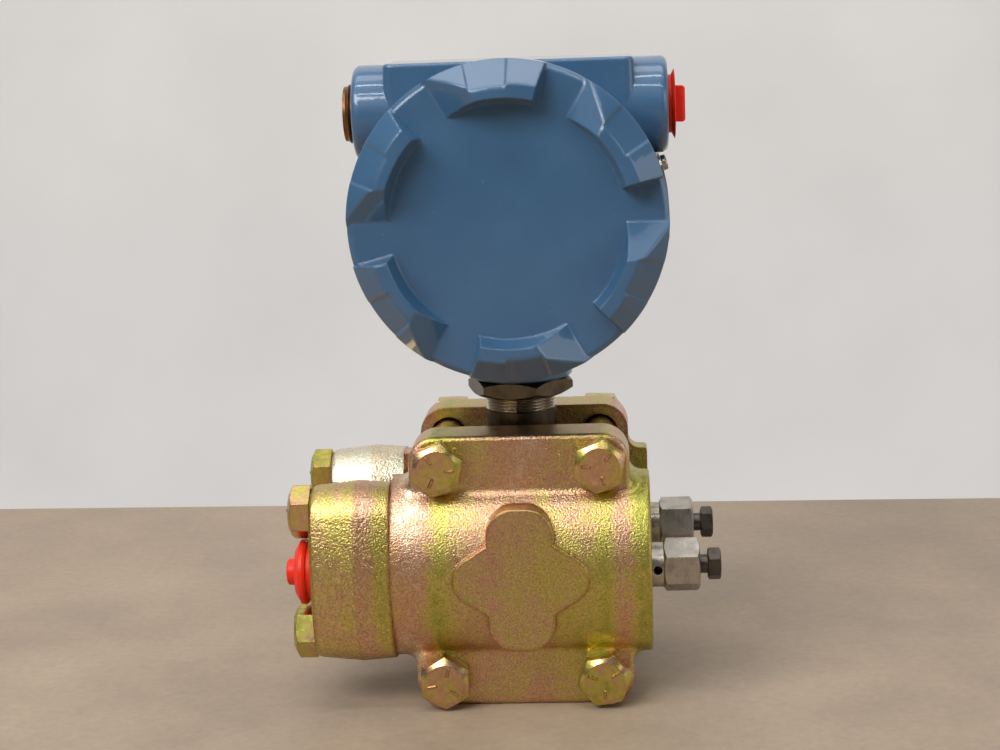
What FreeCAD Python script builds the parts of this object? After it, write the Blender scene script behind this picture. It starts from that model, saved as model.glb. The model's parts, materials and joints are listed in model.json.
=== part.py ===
"""Differential pressure transmitter with a two-compartment electronics housing.

A sensor module is clamped between two process flanges by four long bolts.  Each flange
carries an oval flange adapter on its -X end and a vent valve on its +X end.  The
module's threaded neck carries the lock nut and the housing, which is closed by two
lugged screw covers.  Millimetres, +Z up, the front cover faces -Y.  The origin is at the
centre of the bottom of the whole object.
"""
import FreeCAD, Part
import math
import os

Vector = FreeCAD.Vector
X_AXIS = Vector(1, 0, 0)
Y_AXIS = Vector(0, 1, 0)
Z_AXIS = Vector(0, 0, 1)

# ---- Process flanges ------------------------------------------------------------------
MODULE_GAP = 32.0            # distance between the two flange faces that clamp the module
PLATE_WIDTH = 73.0
PLATE_HEIGHT = 92.4
PLATE_THICKNESS = 16.5
PLATE_CORNER_R = 9.0
PLATE_EDGE_R = 1.6
JUNCTION_R = 4.0             # casting fillet where the plate meets the barrel
BARREL_LENGTH = 86.0
BARREL_HALF_HEIGHT = 30.3
BARREL_DEPTH = 27.0          # from the clamped face to the outermost line of the barrel
BARREL_FACE_R = 42.0
BARREL_CORNER_R = 16.0
BARREL_END_R = 1.2
PORT_SPACING = 54.0          # front port axis to rear port axis
CROSS_UPRIGHT_WIDTH = 22.0
CROSS_UPRIGHT_HEIGHT = 48.2
CROSS_UPRIGHT_R = 9.0
CROSS_ARM_HALF_WIDTH = 29.5  # to the point where the arm's straight sides would meet
CROSS_ARM_HALF_HEIGHT = 19.2
CROSS_ARM_R = 8.4
CROSS_PROUD = 0.7            # how far the cross stands out past the barrel
CROSS_EDGE_R = 0.6
CHAMBER_WALL = 4.5           # from the chamber to the middle of the seal
CHAMBER_DEPTH = 1.5
PASSAGE_R = 2.5
PORT_BORE_R = 3.2
VENT_TAP_R = 6.6
VENT_TAP_DEPTH = 15.0
PROCESS_PORT_R = 5.6
PROCESS_PORT_DEPTH = 14.0
SPOTFACE_R = 10.0

# ---- Bolting --------------------------------------------------------------------------
BOLT_EDGE_X = 9.9            # from the side of a plate to its bolt holes
BOLT_EDGE_Z = 9.8            # from the top and bottom of a plate to its bolt holes
BOLT_R = 5.556               # 7/16 inch
BOLT_CLEARANCE = 0.79
HEAD_AF = 15.875
HEAD_HEIGHT = 7.4
HEAD_CROWN = 0.83            # flat of a bolt head as a share of its width across flats
NUT_AF = 17.46
NUT_HEIGHT = 9.5
BOLT_STICK_OUT = 3.2
FRONT_HEAD_TURNS = (20.0, 22.0, 30.0, 9.0)     # hexagon angles as the wrench left them
NUT_TURNS = (0.0, 2.0, 12.0, -9.0)
TAP_R = 4.96                 # tap drill of 7/16-20
THREAD_MEAN_R = 5.25         # thread of 7/16-20 where a bolt fills it
TAP_DEPTH = 22.0
ADAPTER_BOLT_PITCH = 41.3

# ---- Flange adapters ------------------------------------------------------------------
ADAPTER_LENGTH = 26.8
ADAPTER_PARTING = 11.6       # from the seat face to the casting's parting line
ADAPTER_HALF_WIDTH = 16.8
ADAPTER_HALF_HEIGHT = 30.6
ADAPTER_FACE_R = 74.0
ADAPTER_CORNER_R = 13.0
ADAPTER_DRAFT_OUT = 1.4      # how much each half narrows away from the parting line
ADAPTER_DRAFT_IN = 0.9
ADAPTER_EDGE_R = 2.2
ADAPTER_PARTING_STEP = 0.15  # mismatch of the two halves of the mould
ADAPTER_PORT_DEPTH = 17.0
ADAPTER_BOLT_GRIP = 18.0     # thread engaged in the flange
ADAPTER_TOP_HEAD_TURN = 0.0
ADAPTER_LOW_HEAD_TURN = 21.0

# ---- Sensor module --------------------------------------------------------------------
MODULE_BOLT_GAP = 2.0        # between the module and the bolts beside it
SLEEVE_R = 12.0
SLEEVE_RISE = 3.1            # above the tops of the flange plates
NECK_R = 11.1
NECK_STOP = 4.0              # from the top of the neck to the top of the boss it is screwed into
NECK_BORE_R = 7.0
NECK_BORE_DEPTH = 16.0
NECK_GROOVE_WIDTH = 1.6
NECK_GROOVE_DEPTH = 1.0
DIAPHRAGM_EDGE = 3.0         # from the edge of the diaphragm to that of the chamber
DIAPHRAGM_THICKNESS = 0.4
DIAPHRAGM_RIPPLES = 4
SEAL_EDGE = 7.0              # from the middle of the seal to the edge of the module
SEAL_CORD_R = 1.5

# ---- Lock nut and neck fit ------------------------------------------------------------
LOCK_NUT_AF = 31.75
LOCK_NUT_HEIGHT = 6.0
LOCK_NUT_TURN = -10.0
NECK_SHOWN = 5.3             # thread left free between the sleeve and the lock nut
RUNNING_CLEARANCE = 0.05

# ---- Electronics housing --------------------------------------------------------------
HOUSING_RISE = 57.7          # from the lock nut to the cover axis
BODY_R = 47.0
BODY_HALF_LENGTH = 30.5
BODY_EDGE_R = 1.5
THREAD_RING_R = 44.6
RING_HALF_LENGTH = 43.2
COMPARTMENT_R = 39.5
PARTITION_FRONT = 3.0
PARTITION_BACK = 8.0
CONDUIT_RISE = 32.5          # from the cover axis to the conduits
CONDUIT_BOSS_R = 16.0
CONDUIT_SPAN = 104.2
CONDUIT_EDGE_R = 2.4
CONDUIT_BORE_DEPTH = 34.0
TOP_BLOCK_WIDTH = 82.0
TOP_BLOCK_CORNER_R = 3.0
TOP_BLOCK_EDGE_R = 1.2
TOP_BLOCK_RISE = 0.6         # above the conduit bosses
NECK_BOSS_R = 18.0
INNER_BOSS_R = 15.0
INNER_BOSS_RISE = 3.0        # above the bottom of the compartment
WIRE_SLOT_HALF_WIDTH = 6.0
WIRE_SLOT_RISE = 6.0
CONDUIT_SLOT_HALF_WIDTH = 25.0
CONDUIT_SLOT_RISE = 6.0
PAD_R = 50.6
PAD_WIDTH = 38.0
PAD_HALF_ANGLE = 19.0

# ---- Covers ---------------------------------------------------------------------------
COVER_FACE_Y = 48.5          # distance of the cover's flat face from the housing centre
COVER_RIM_R = 50.8
COVER_SKIRT_R = 50.0
COVER_RIM_CHAMFER = 1.5
COVER_END_GAP = 0.5
REAR_COVER_INSET = 2.8       # the rear cover's radii are this much smaller
COVER_FACE_THICKNESS = 4.8
LUG_COUNT = 6
LUG_ANGLE = 45.0
LUG_FIRST_TIP = 0.0
LUG_HEIGHT = 9.0
LUG_INNER_FOOT_R = 37.3
LUG_INNER_TOP_R = 39.0
LUG_OUTER_TOP_R = 43.4
LUG_OUTER_FOOT_R = 50.8
LUG_OUTER_FOOT_RISE = 1.0
LUG_RAMP_START = 0.9         # how far the ramp's foot lies inside the tip of the lug
LUG_RAMP_RUN = 11.3          # length over which a lug's ramp rises to full height
LUG_NOTCH_START = 16.0
LUG_NOTCH_ANGLE = 15.6
LUG_NOTCH_DEPTH = 0.9
LUG_NOTCH_LENGTH = 6.5
COVER_SEAL_CORD_R = 1.3
COVER_SEAL_OFFSET = 3.4      # from the skirt's open end

# ---- Plugs and valves -----------------------------------------------------------------
PIPE_THREAD_R = 9.9           # 1/2 NPT thread of the conduits and the adapter ports
PLUG_CLEARANCE = 0.3
PLUG_STEM_DEPTH = 12.0
CAP_NECK = 1.2
CAP_FLANGE_R = 11.6
CAP_FLANGE_THICKNESS = 1.0
CAP_KNOB_SIZE = 11.8
CAP_KNOB_LENGTH = 3.6
PORT_PLUG_STANDOFF = 2.2
PORT_PLUG_DISC_R = 11.1
PORT_PLUG_DISC_THICKNESS = 3.9
PORT_PLUG_KNOB_R = 4.6
PORT_PLUG_KNOB_LENGTH = 3.2
METAL_PLUG_PROUD = 3.4
THREAD_PITCH = 1.814         # 14 threads to the inch
THREAD_DEPTH = 0.75
VENT_SEAT_R = 7.4
VENT_SEAT_LENGTH = 4.0
VENT_HEX_AF = 15.875
VENT_HEX_LENGTH = 12.0
VENT_HOLE_R = 1.5
VENT_SCREW_R = 3.17
VENT_SHANK_LENGTH = 2.6
VENT_HEAD_AF = 9.53
VENT_HEAD_LENGTH = 4.4
FRONT_VENT_TURN = 0.0
REAR_VENT_TURN = 16.0

# ---- Electronics ----------------------------------------------------------------------
BOARD_R = 37.0
BOARD_THICKNESS = 1.6
AMPLIFIER_Y = -21.0
CALIBRATION_Y = -33.0
AMPLIFIER_PARTS = ((-12.0, 10.0, 14.0, 8.0, 4.0), (12.0, 12.0, 10.0, 10.0, 5.0),
                   (0.0, -10.0, 20.0, 6.0, 3.0), (16.0, -8.0, 6.0, 12.0, 4.0))
CALIBRATION_PARTS = ((-14.0, -6.0, 9.0, 9.0, 4.0), (14.0, -6.0, 9.0, 9.0, 4.0),
                     (0.0, 14.0, 24.0, 5.0, 3.0), (0.0, -22.0, 12.0, 5.0, 4.0))
SPACER_R = 2.4
SPACER_PLACES = ((20.0, -26.0), (-20.0, -26.0), (31.0, 6.0), (-31.0, 6.0))
TERMINAL_WIDTH = 50.0
TERMINAL_HEIGHT = 22.0
TERMINAL_DEPTH = 12.0
TERMINAL_PITCH = 15.0
BARRIER_THICKNESS = 2.0
BARRIER_RISE = 4.0
TERMINAL_SCREW_R = 1.55
TERMINAL_SCREW_LENGTH = 8.5
TERMINAL_HEAD_R = 4.0
TERMINAL_HEAD_HEIGHT = 2.6
PIN_R = 0.9
PIN_COLLAR_R = 2.5
PIN_PITCH = 8.0
PIN_REACH = 5.0
PIN_DROP = 20.0
BOARD_SCREW_HEAD_R = 2.8
BOARD_SCREW_HEAD_HEIGHT = 1.8
BOARD_STUD_R = 1.5
SLOT_WIDTH = 0.8
GROUND_SCREW_PLACE = (-30.0, -12.0)
GROUND_SCREW_STEM_R = 1.45
GROUND_SCREW_STEM = 3.0
GROUND_HEAD_R = 3.4
GROUND_HEAD_HEIGHT = 2.4
ADJUSTER_R = 2.5
ADJUSTER_PLACES = (-4.0, -13.0)
ADJUSTER_SEAL_CORD_R = 0.6
NAMEPLATE_THICKNESS = 0.8
NAMEPLATE_WIDTH = 36.0
NAMEPLATE_HALF_ANGLE = 18.0
NAMEPLATE_SCREW_ANGLE = 14.5
NAMEPLATE_SCREW_R = 1.35
NAMEPLATE_SCREW_LENGTH = 5.0
NAMEPLATE_HEAD_R = 2.6
NAMEPLATE_HEAD_HEIGHT = 1.8

# ---- Worked out -----------------------------------------------------------------------
FACE_Y = MODULE_GAP / 2                      # clamped face of each flange
PLATE_Y = FACE_Y + PLATE_THICKNESS           # outer face of each flange plate
APEX_Y = FACE_Y + BARREL_DEPTH
PORT_Y = PORT_SPACING / 2
CENTRE_Z = PLATE_HEIGHT / 2                  # height of the ports and the module
END_X = BARREL_LENGTH / 2
ADAPTER_X = END_X + ADAPTER_LENGTH
PORT_PLUG_END = (ADAPTER_X + PORT_PLUG_STANDOFF + PORT_PLUG_DISC_THICKNESS
                 + PORT_PLUG_KNOB_LENGTH)
VENT_HEX_X = END_X + VENT_SEAT_LENGTH
VENT_FACE_X = VENT_HEX_X + VENT_HEX_LENGTH
VENT_END = VENT_FACE_X + VENT_SHANK_LENGTH + VENT_HEAD_LENGTH
ORIGIN_SHIFT = (PORT_PLUG_END - VENT_END) / 2
SLEEVE_TOP = PLATE_HEIGHT + SLEEVE_RISE
LOCK_NUT_BOTTOM = SLEEVE_TOP + NECK_SHOWN
LOCK_NUT_TOP = LOCK_NUT_BOTTOM + LOCK_NUT_HEIGHT
HOUSING_Z = LOCK_NUT_TOP + HOUSING_RISE      # height of the cover axis
CONDUIT_Z = HOUSING_Z + CONDUIT_RISE
INNER_BOSS_TOP = HOUSING_Z - COMPARTMENT_R + INNER_BOSS_RISE
NECK_TOP = INNER_BOSS_TOP - NECK_STOP
CONDUIT_END = CONDUIT_SPAN / 2
PLUG_STEM_R = PIPE_THREAD_R - PLUG_CLEARANCE
METAL_PLUG_CREST_R = PIPE_THREAD_R - RUNNING_CLEARANCE
BOSS_BOTTOM = LOCK_NUT_TOP + RUNNING_CLEARANCE
NECK_FIT_R = NECK_R + RUNNING_CLEARANCE
SKIRT_BORE_R = THREAD_RING_R + 2 * RUNNING_CLEARANCE
SKIRT_END_Y = BODY_HALF_LENGTH + COVER_END_GAP
JUNCTION_FIT_R = min(JUNCTION_R, 0.4 * (BARREL_LENGTH - PLATE_WIDTH))
BOLT_SPACING_X = PLATE_WIDTH - 2 * BOLT_EDGE_X
BOLT_SPACING_Z = PLATE_HEIGHT - 2 * BOLT_EDGE_Z
MODULE_R = math.hypot(BOLT_SPACING_X, BOLT_SPACING_Z) / 2 - BOLT_R - MODULE_BOLT_GAP
SEAL_RING_R = MODULE_R - SEAL_EDGE
CHAMBER_R = SEAL_RING_R - CHAMBER_WALL
DIAPHRAGM_R = CHAMBER_R - DIAPHRAGM_EDGE
BOLT_PLACES = [(sx * BOLT_SPACING_X / 2, CENTRE_Z + sz * BOLT_SPACING_Z / 2)
               for sz in (1, -1) for sx in (-1, 1)]
TAP_HEIGHTS = (CENTRE_Z + ADAPTER_BOLT_PITCH / 2, CENTRE_Z - ADAPTER_BOLT_PITCH / 2)


# ---- Helpers --------------------------------------------------------------------------
def cylinder(radius, start, direction, length):
    return Part.makeCylinder(radius, length, start, direction)


def box(x0, x1, y0, y1, z0, z1):
    return Part.makeBox(x1 - x0, y1 - y0, z1 - z0, Vector(x0, y0, z0))


def face_of(edges):
    return Part.Face(Part.Wire(edges))


def polygon_face(points):
    return Part.Face(Part.makePolygon(list(points) + [points[0]]))


def revolve(points, centre, axis, angle=360.0):
    """Solid swept by a closed outline of points turned about an axis."""
    return polygon_face(points).revolve(centre, axis, angle)


def turned_on_x(profile, centre):
    """Solid of revolution about +X through centre, from (x, radius) pairs."""
    points = [Vector(x, centre.y, centre.z + r) for x, r in profile]
    return revolve(points, Vector(0, centre.y, centre.z), X_AXIS)


def turned_on_y(profile, angle=360.0):
    """Solid of revolution about the cover axis, from (y, radius) pairs."""
    points = [Vector(r, y, HOUSING_Z) for y, r in profile]
    return revolve(points, Vector(0, 0, HOUSING_Z), Y_AXIS, angle)


def ring(ring_r, cord_r, centre, axis):
    return Part.makeTorus(ring_r, cord_r, centre, axis)


def hexagon(across_flats, height, centre, axis, turn=0.0, chamfered_ends=(False, True),
            crown=0.95):
    """Hexagonal prism along axis from centre, its chosen ends chamfered at 30 degrees."""
    corner_r = across_flats / math.sqrt(3)
    points = [Vector(corner_r * math.cos(math.radians(60 * k + turn)),
                     corner_r * math.sin(math.radians(60 * k + turn)), 0) for k in range(6)]
    prism = polygon_face(points).extrude(Vector(0, 0, height))
    flat_r = crown * across_flats / 2
    drop = (corner_r - flat_r) * math.tan(math.radians(30))
    outline = [Vector(0, 0, 0)]
    if chamfered_ends[0]:
        outline += [Vector(flat_r, 0, 0), Vector(corner_r, 0, drop)]
    else:
        outline += [Vector(corner_r, 0, 0)]
    if chamfered_ends[1]:
        outline += [Vector(corner_r, 0, height - drop), Vector(flat_r, 0, height)]
    else:
        outline += [Vector(corner_r, 0, height)]
    outline += [Vector(0, 0, height)]
    trim = revolve(outline, Vector(0, 0, 0), Z_AXIS)
    solid = prism.common(trim)
    solid.Placement = FreeCAD.Placement(centre, FreeCAD.Rotation(Z_AXIS, axis))
    return solid


def fillet_edges(shape, radius, wanted):
    """Fillet the edges that the test picks."""
    edges = [edge for edge in shape.Edges if wanted(edge)]
    return shape.makeFillet(radius, edges) if edges else shape


def mirrored(shape):
    """The rear copy of a front piece."""
    return shape.mirror(Vector(0, 0, 0), Y_AXIS)


def arc(start, middle, end):
    return Part.Arc(start, middle, end).toShape()


# ---- Flange ---------------------------------------------------------------------------
def side_profile(apex, face_r, corner_r, half_height):
    """Centre and tangent point of a corner arc blended into a face arc.

    The apex is the distance to the outermost line, and both arcs are symmetric about
    the height of the ports.
    """
    face_centre = apex - face_r
    rise = half_height - corner_r
    reach = math.sqrt((face_r - corner_r) ** 2 - rise ** 2)
    corner_centre = face_centre + reach
    scale = face_r / (face_r - corner_r)
    tangent = (face_centre + reach * scale, rise * scale)
    shoulder_angle = (math.pi / 2 + math.atan2(rise, reach)) / 2
    middle = (corner_centre + corner_r * math.cos(shoulder_angle),
              rise + corner_r * math.sin(shoulder_angle))
    return corner_centre, tangent, middle


def barrel():
    """Barrel of the front flange: a flat back, rounded shoulders and a wide front arc."""
    corner, tangent, middle = side_profile(APEX_Y, BARREL_FACE_R, BARREL_CORNER_R,
                                           BARREL_HALF_HEIGHT)

    def at(depth, height):
        return Vector(-END_X, -depth, CENTRE_Z + height)

    top = BARREL_HALF_HEIGHT
    edges = [
        Part.makeLine(at(FACE_Y, -top), at(FACE_Y, top)),
        Part.makeLine(at(FACE_Y, top), at(corner, top)),
        arc(at(corner, top), at(*middle), at(*tangent)),
        arc(at(*tangent), at(APEX_Y, 0), at(tangent[0], -tangent[1])),
        arc(at(tangent[0], -tangent[1]), at(middle[0], -middle[1]), at(corner, -top)),
        Part.makeLine(at(corner, -top), at(FACE_Y, -top)),
    ]
    solid = face_of(edges).extrude(Vector(BARREL_LENGTH, 0, 0))
    return fillet_edges(solid, BARREL_END_R, lambda edge: abs(edge.CenterOfMass.x - END_X) < 0.01
                        and edge.CenterOfMass.y < -FACE_Y - 1)


def flange_plate():
    half = PLATE_WIDTH / 2
    solid = box(-half, half, -PLATE_Y, -FACE_Y, 0, PLATE_HEIGHT)
    solid = fillet_edges(solid, PLATE_CORNER_R,
                         lambda edge: abs(edge.BoundBox.YLength - PLATE_THICKNESS) < 0.01)
    return fillet_edges(solid, PLATE_EDGE_R,
                        lambda edge: abs(edge.BoundBox.YMin + PLATE_Y) < 0.01
                        and edge.BoundBox.YLength < 0.01)


def meets_barrel(edge):
    """Whether an edge lies where the plate runs into the barrel."""
    bounds = edge.BoundBox
    lowest = PLATE_CORNER_R + 0.5
    if bounds.ZMin < lowest or bounds.ZMax > PLATE_HEIGHT - lowest:
        return False
    if abs(bounds.XMin) > PLATE_WIDTH / 2 + 0.01:
        return False
    on_clamped_face = bounds.YMax > -FACE_Y - 0.01 and bounds.YLength < 0.01
    upright = bounds.XLength < 0.01 and bounds.YLength < 0.01
    return not on_clamped_face and not upright


def flange_blank():
    """Plate and barrel run together by casting fillets."""
    blank = flange_plate().fuse(barrel()).removeSplitter()
    return fillet_edges(blank, JUNCTION_FIT_R, meets_barrel)


def pad_prism(points, corner_r, depth_from, depth_to):
    """Prism along -Y over an outline of (x, height) points, its corners rounded."""
    outline = [Vector(x, -depth_from, CENTRE_Z + height) for x, height in points]
    solid = polygon_face(outline).extrude(Vector(0, depth_from - depth_to, 0))
    return fillet_edges(solid, corner_r, lambda edge: edge.BoundBox.YLength > 1)


def cross_boss():
    """Cross-shaped pad on the front of the barrel, its arms tapering to the sides."""
    front = APEX_Y + CROSS_PROUD
    half_w = CROSS_UPRIGHT_WIDTH / 2
    half_h = CROSS_UPRIGHT_HEIGHT / 2
    upright = pad_prism([(-half_w, -half_h), (half_w, -half_h), (half_w, half_h),
                         (-half_w, half_h)], CROSS_UPRIGHT_R, PORT_Y, front)
    arm = pad_prism([(-CROSS_ARM_HALF_WIDTH, 0), (0, -CROSS_ARM_HALF_HEIGHT),
                     (CROSS_ARM_HALF_WIDTH, 0), (0, CROSS_ARM_HALF_HEIGHT)], CROSS_ARM_R, PORT_Y,
                    front)
    pad = upright.fuse(arm).removeSplitter()
    return fillet_edges(pad, CROSS_EDGE_R, lambda edge: abs(edge.BoundBox.YMin + front) < 0.01
                        and edge.BoundBox.YLength < 0.01)


def flange_cuts():
    """Everything that is drilled, tapped or faced in a flange."""
    cuts = []
    for x, z in BOLT_PLACES:
        cuts.append(cylinder(BOLT_R + BOLT_CLEARANCE, Vector(x, -FACE_Y + 1, z), -Y_AXIS,
                             BARREL_DEPTH))
        cuts.append(cylinder(SPOTFACE_R, Vector(x, -PLATE_Y, z), -Y_AXIS, BARREL_DEPTH))
    for side, radius in ((-1, THREAD_MEAN_R), (1, TAP_R)):
        for z in TAP_HEIGHTS:
            cuts.append(cylinder(radius, Vector(side * END_X, -PORT_Y, z), X_AXIS * -side,
                                 TAP_DEPTH))
    port_axis = Vector(-END_X, -PORT_Y, CENTRE_Z)
    cuts.append(cylinder(PORT_BORE_R, port_axis, X_AXIS, BARREL_LENGTH))
    cuts.append(cylinder(PROCESS_PORT_R, port_axis, X_AXIS, PROCESS_PORT_DEPTH))
    cuts.append(cylinder(VENT_TAP_R, Vector(END_X, -PORT_Y, CENTRE_Z), -X_AXIS, VENT_TAP_DEPTH))
    cuts.append(cylinder(PASSAGE_R, Vector(0, -FACE_Y, CENTRE_Z), -Y_AXIS, PORT_Y - FACE_Y))
    cuts.append(cylinder(CHAMBER_R, Vector(0, -FACE_Y, CENTRE_Z), -Y_AXIS, CHAMBER_DEPTH))
    groove_depth = 2 * SEAL_CORD_R
    groove_half = SEAL_CORD_R + 0.1
    outer = cylinder(SEAL_RING_R + groove_half, Vector(0, -FACE_Y, CENTRE_Z), -Y_AXIS,
                     groove_depth)
    inner = cylinder(SEAL_RING_R - groove_half, Vector(0, -FACE_Y, CENTRE_Z), -Y_AXIS,
                     groove_depth)
    cuts.append(outer.cut(inner))
    return cuts


def front_flange():
    return flange_blank().fuse(cross_boss()).cut(flange_cuts()).removeSplitter()


# ---- Adapter --------------------------------------------------------------------------
def adapter_outline(x, narrower):
    """Oval wire of the adapter at x, narrower all round by the given amount."""
    half_w = ADAPTER_HALF_WIDTH - narrower
    half_h = ADAPTER_HALF_HEIGHT - narrower
    corner, tangent, middle = side_profile(half_w, ADAPTER_FACE_R - narrower,
                                           ADAPTER_CORNER_R - narrower, half_h)

    def at(across, height):
        return Vector(x, -PORT_Y - across, CENTRE_Z + height)

    edges = []
    for side in (1, -1):
        edges += [
            Part.makeLine(at(-side * corner, side * half_h), at(side * corner, side * half_h)),
            arc(at(side * corner, side * half_h), at(side * middle[0], side * middle[1]),
                at(side * tangent[0], side * tangent[1])),
            arc(at(side * tangent[0], side * tangent[1]), at(side * half_w, 0),
                at(side * tangent[0], -side * tangent[1])),
            arc(at(side * tangent[0], -side * tangent[1]),
                at(side * middle[0], -side * middle[1]), at(side * corner, -side * half_h)),
        ]
    return Part.Wire(Part.__sortEdges__(edges))


def front_adapter():
    """Oval adapter, widest at its parting line, with a pipe port and two bolt holes."""
    parting_x = -END_X - ADAPTER_PARTING
    inner = Part.makeLoft([adapter_outline(-END_X, ADAPTER_DRAFT_IN),
                           adapter_outline(parting_x, 0.0)], True, True)
    sections = [adapter_outline(parting_x, ADAPTER_PARTING_STEP)]
    for degrees in (0, 30, 60, 90):
        turn = math.radians(degrees)
        sections.append(adapter_outline(-ADAPTER_X + ADAPTER_EDGE_R * (1 - math.sin(turn)),
                                        ADAPTER_DRAFT_OUT + ADAPTER_EDGE_R * (1 - math.cos(turn))))
    outer = Part.makeLoft(sections, True, True)
    solid = inner.fuse(outer)
    face = Vector(-ADAPTER_X, -PORT_Y, CENTRE_Z)
    seat = Vector(-END_X, -PORT_Y, CENTRE_Z)
    cuts = [
        cylinder(PIPE_THREAD_R, face, X_AXIS, ADAPTER_PORT_DEPTH),
        cylinder(PROCESS_PORT_R, face, X_AXIS, ADAPTER_LENGTH),
        cylinder(SEAL_CORD_R * 2 + PROCESS_PORT_R + 0.2, seat, -X_AXIS, 2 * SEAL_CORD_R - 0.3),
    ]
    for z in TAP_HEIGHTS:
        cuts.append(cylinder(BOLT_R + BOLT_CLEARANCE / 2, Vector(-ADAPTER_X, -PORT_Y, z), X_AXIS,
                             ADAPTER_LENGTH))
    return solid.cut(cuts)


def adapter_seal():
    centre = Vector(-END_X - SEAL_CORD_R + 0.15, -PORT_Y, CENTRE_Z)
    return ring(PROCESS_PORT_R + SEAL_CORD_R + 0.1, SEAL_CORD_R - 0.15, centre, X_AXIS)


def adapter_bolt(z, turn):
    """Hex bolt through the adapter into the flange; its head stands on the -X face."""
    seat = Vector(-ADAPTER_X, -PORT_Y, z)
    head = hexagon(HEAD_AF, HEAD_HEIGHT, seat, -X_AXIS, turn, crown=HEAD_CROWN)
    shank = cylinder(BOLT_R, seat, X_AXIS, ADAPTER_LENGTH)
    thread = cylinder(THREAD_MEAN_R, Vector(-END_X, -PORT_Y, z), X_AXIS, ADAPTER_BOLT_GRIP)
    return head.fuse([shank, thread]).removeSplitter()


# ---- Clamping bolts -------------------------------------------------------------------
def flange_bolt(x, z, turn):
    seat = Vector(x, -PLATE_Y, z)
    head = hexagon(HEAD_AF, HEAD_HEIGHT, seat, -Y_AXIS, turn, crown=HEAD_CROWN)
    shank = cylinder(BOLT_R, seat, Y_AXIS, 2 * PLATE_Y + NUT_HEIGHT + BOLT_STICK_OUT)
    return head.fuse(shank).removeSplitter()


def flange_nut(x, z, turn):
    seat = Vector(x, PLATE_Y, z)
    body = hexagon(NUT_AF, NUT_HEIGHT, seat, Y_AXIS, turn, (True, True))
    return body.cut(cylinder(BOLT_R + RUNNING_CLEARANCE, seat, Y_AXIS, NUT_HEIGHT))


# ---- Sensor module --------------------------------------------------------------------
def sensor_module():
    """Disc between the flanges with the sleeve and threaded neck welded to its top."""
    disc = cylinder(MODULE_R, Vector(0, -FACE_Y, CENTRE_Z), Y_AXIS, MODULE_GAP)
    disc = fillet_edges(disc, 1.2, lambda edge: edge.BoundBox.YLength < 0.01)
    sleeve = cylinder(SLEEVE_R, Vector(0, 0, CENTRE_Z), Z_AXIS, SLEEVE_TOP - CENTRE_Z)
    neck = cylinder(NECK_R, Vector(0, 0, CENTRE_Z), Z_AXIS, NECK_TOP - CENTRE_Z)
    solid = disc.fuse([sleeve, neck])
    bore = cylinder(NECK_BORE_R, Vector(0, 0, NECK_TOP), -Z_AXIS, NECK_BORE_DEPTH)
    keyway = box(-NECK_GROOVE_WIDTH / 2, NECK_GROOVE_WIDTH / 2, -NECK_R - 1,
                 -NECK_R + NECK_GROOVE_DEPTH, SLEEVE_TOP, NECK_TOP)
    cuts = [bore, keyway]
    pocket_r = DIAPHRAGM_R + 0.2
    for side in (-1, 1):
        cuts.append(cylinder(pocket_r, Vector(0, side * FACE_Y, CENTRE_Z), Y_AXIS * -side, 1.0))
    return solid.cut(cuts).removeSplitter()


def diaphragm():
    """Thin foil with concentric ripples in the module's front pocket."""
    back = -FACE_Y + 1.0
    pitch = DIAPHRAGM_R / (DIAPHRAGM_RIPPLES + 1)
    front = [(back - DIAPHRAGM_THICKNESS, 0.0)]
    for k in range(1, DIAPHRAGM_RIPPLES + 1):
        front.append((back - DIAPHRAGM_THICKNESS, (k - 0.3) * pitch))
        front.append((back - 2 * DIAPHRAGM_THICKNESS, k * pitch))
        front.append((back - DIAPHRAGM_THICKNESS, (k + 0.3) * pitch))
    front.append((back - DIAPHRAGM_THICKNESS, DIAPHRAGM_R))
    outline = front + [(back, DIAPHRAGM_R), (back, 0.0)]
    points = [Vector(r, y, CENTRE_Z) for y, r in outline]
    return revolve(points, Vector(0, 0, CENTRE_Z), Y_AXIS)


def flange_seal():
    return ring(SEAL_RING_R, SEAL_CORD_R, Vector(0, -FACE_Y - SEAL_CORD_R, CENTRE_Z), Y_AXIS)


def module_header():
    """Sealed feed-through with its pins at the bottom of the neck's bore."""
    floor = NECK_TOP - NECK_BORE_DEPTH
    header = cylinder(NECK_BORE_R, Vector(0, 0, floor), Z_AXIS, 4.0)
    for k in range(6):
        angle = math.radians(60 * k)
        foot = Vector(4.4 * math.cos(angle), 4.4 * math.sin(angle), floor + 4.0)
        header = header.fuse(cylinder(0.6, foot, Z_AXIS, 6.0))
    return header


def lock_nut():
    seat = Vector(0, 0, LOCK_NUT_BOTTOM)
    body = hexagon(LOCK_NUT_AF, LOCK_NUT_HEIGHT, seat, Z_AXIS, LOCK_NUT_TURN, (True, True))
    return body.cut(cylinder(NECK_FIT_R, seat, Z_AXIS, LOCK_NUT_HEIGHT))


# ---- Electronics housing --------------------------------------------------------------
def conduit_tube():
    solid = cylinder(CONDUIT_BOSS_R, Vector(-CONDUIT_END, 0, CONDUIT_Z), X_AXIS, CONDUIT_SPAN)
    return fillet_edges(solid, CONDUIT_EDGE_R, lambda edge: edge.BoundBox.XLength < 0.01)


def top_block():
    """Flat-topped bridge between the two conduit bosses."""
    half = TOP_BLOCK_WIDTH / 2
    solid = box(-half, half, -CONDUIT_BOSS_R, CONDUIT_BOSS_R, HOUSING_Z + COMPARTMENT_R / 2,
                CONDUIT_Z + CONDUIT_BOSS_R + TOP_BLOCK_RISE)
    solid = fillet_edges(solid, TOP_BLOCK_CORNER_R, lambda edge: edge.BoundBox.ZLength > 1)
    return fillet_edges(solid, TOP_BLOCK_EDGE_R, lambda edge: edge.BoundBox.ZMin > CONDUIT_Z)


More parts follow.
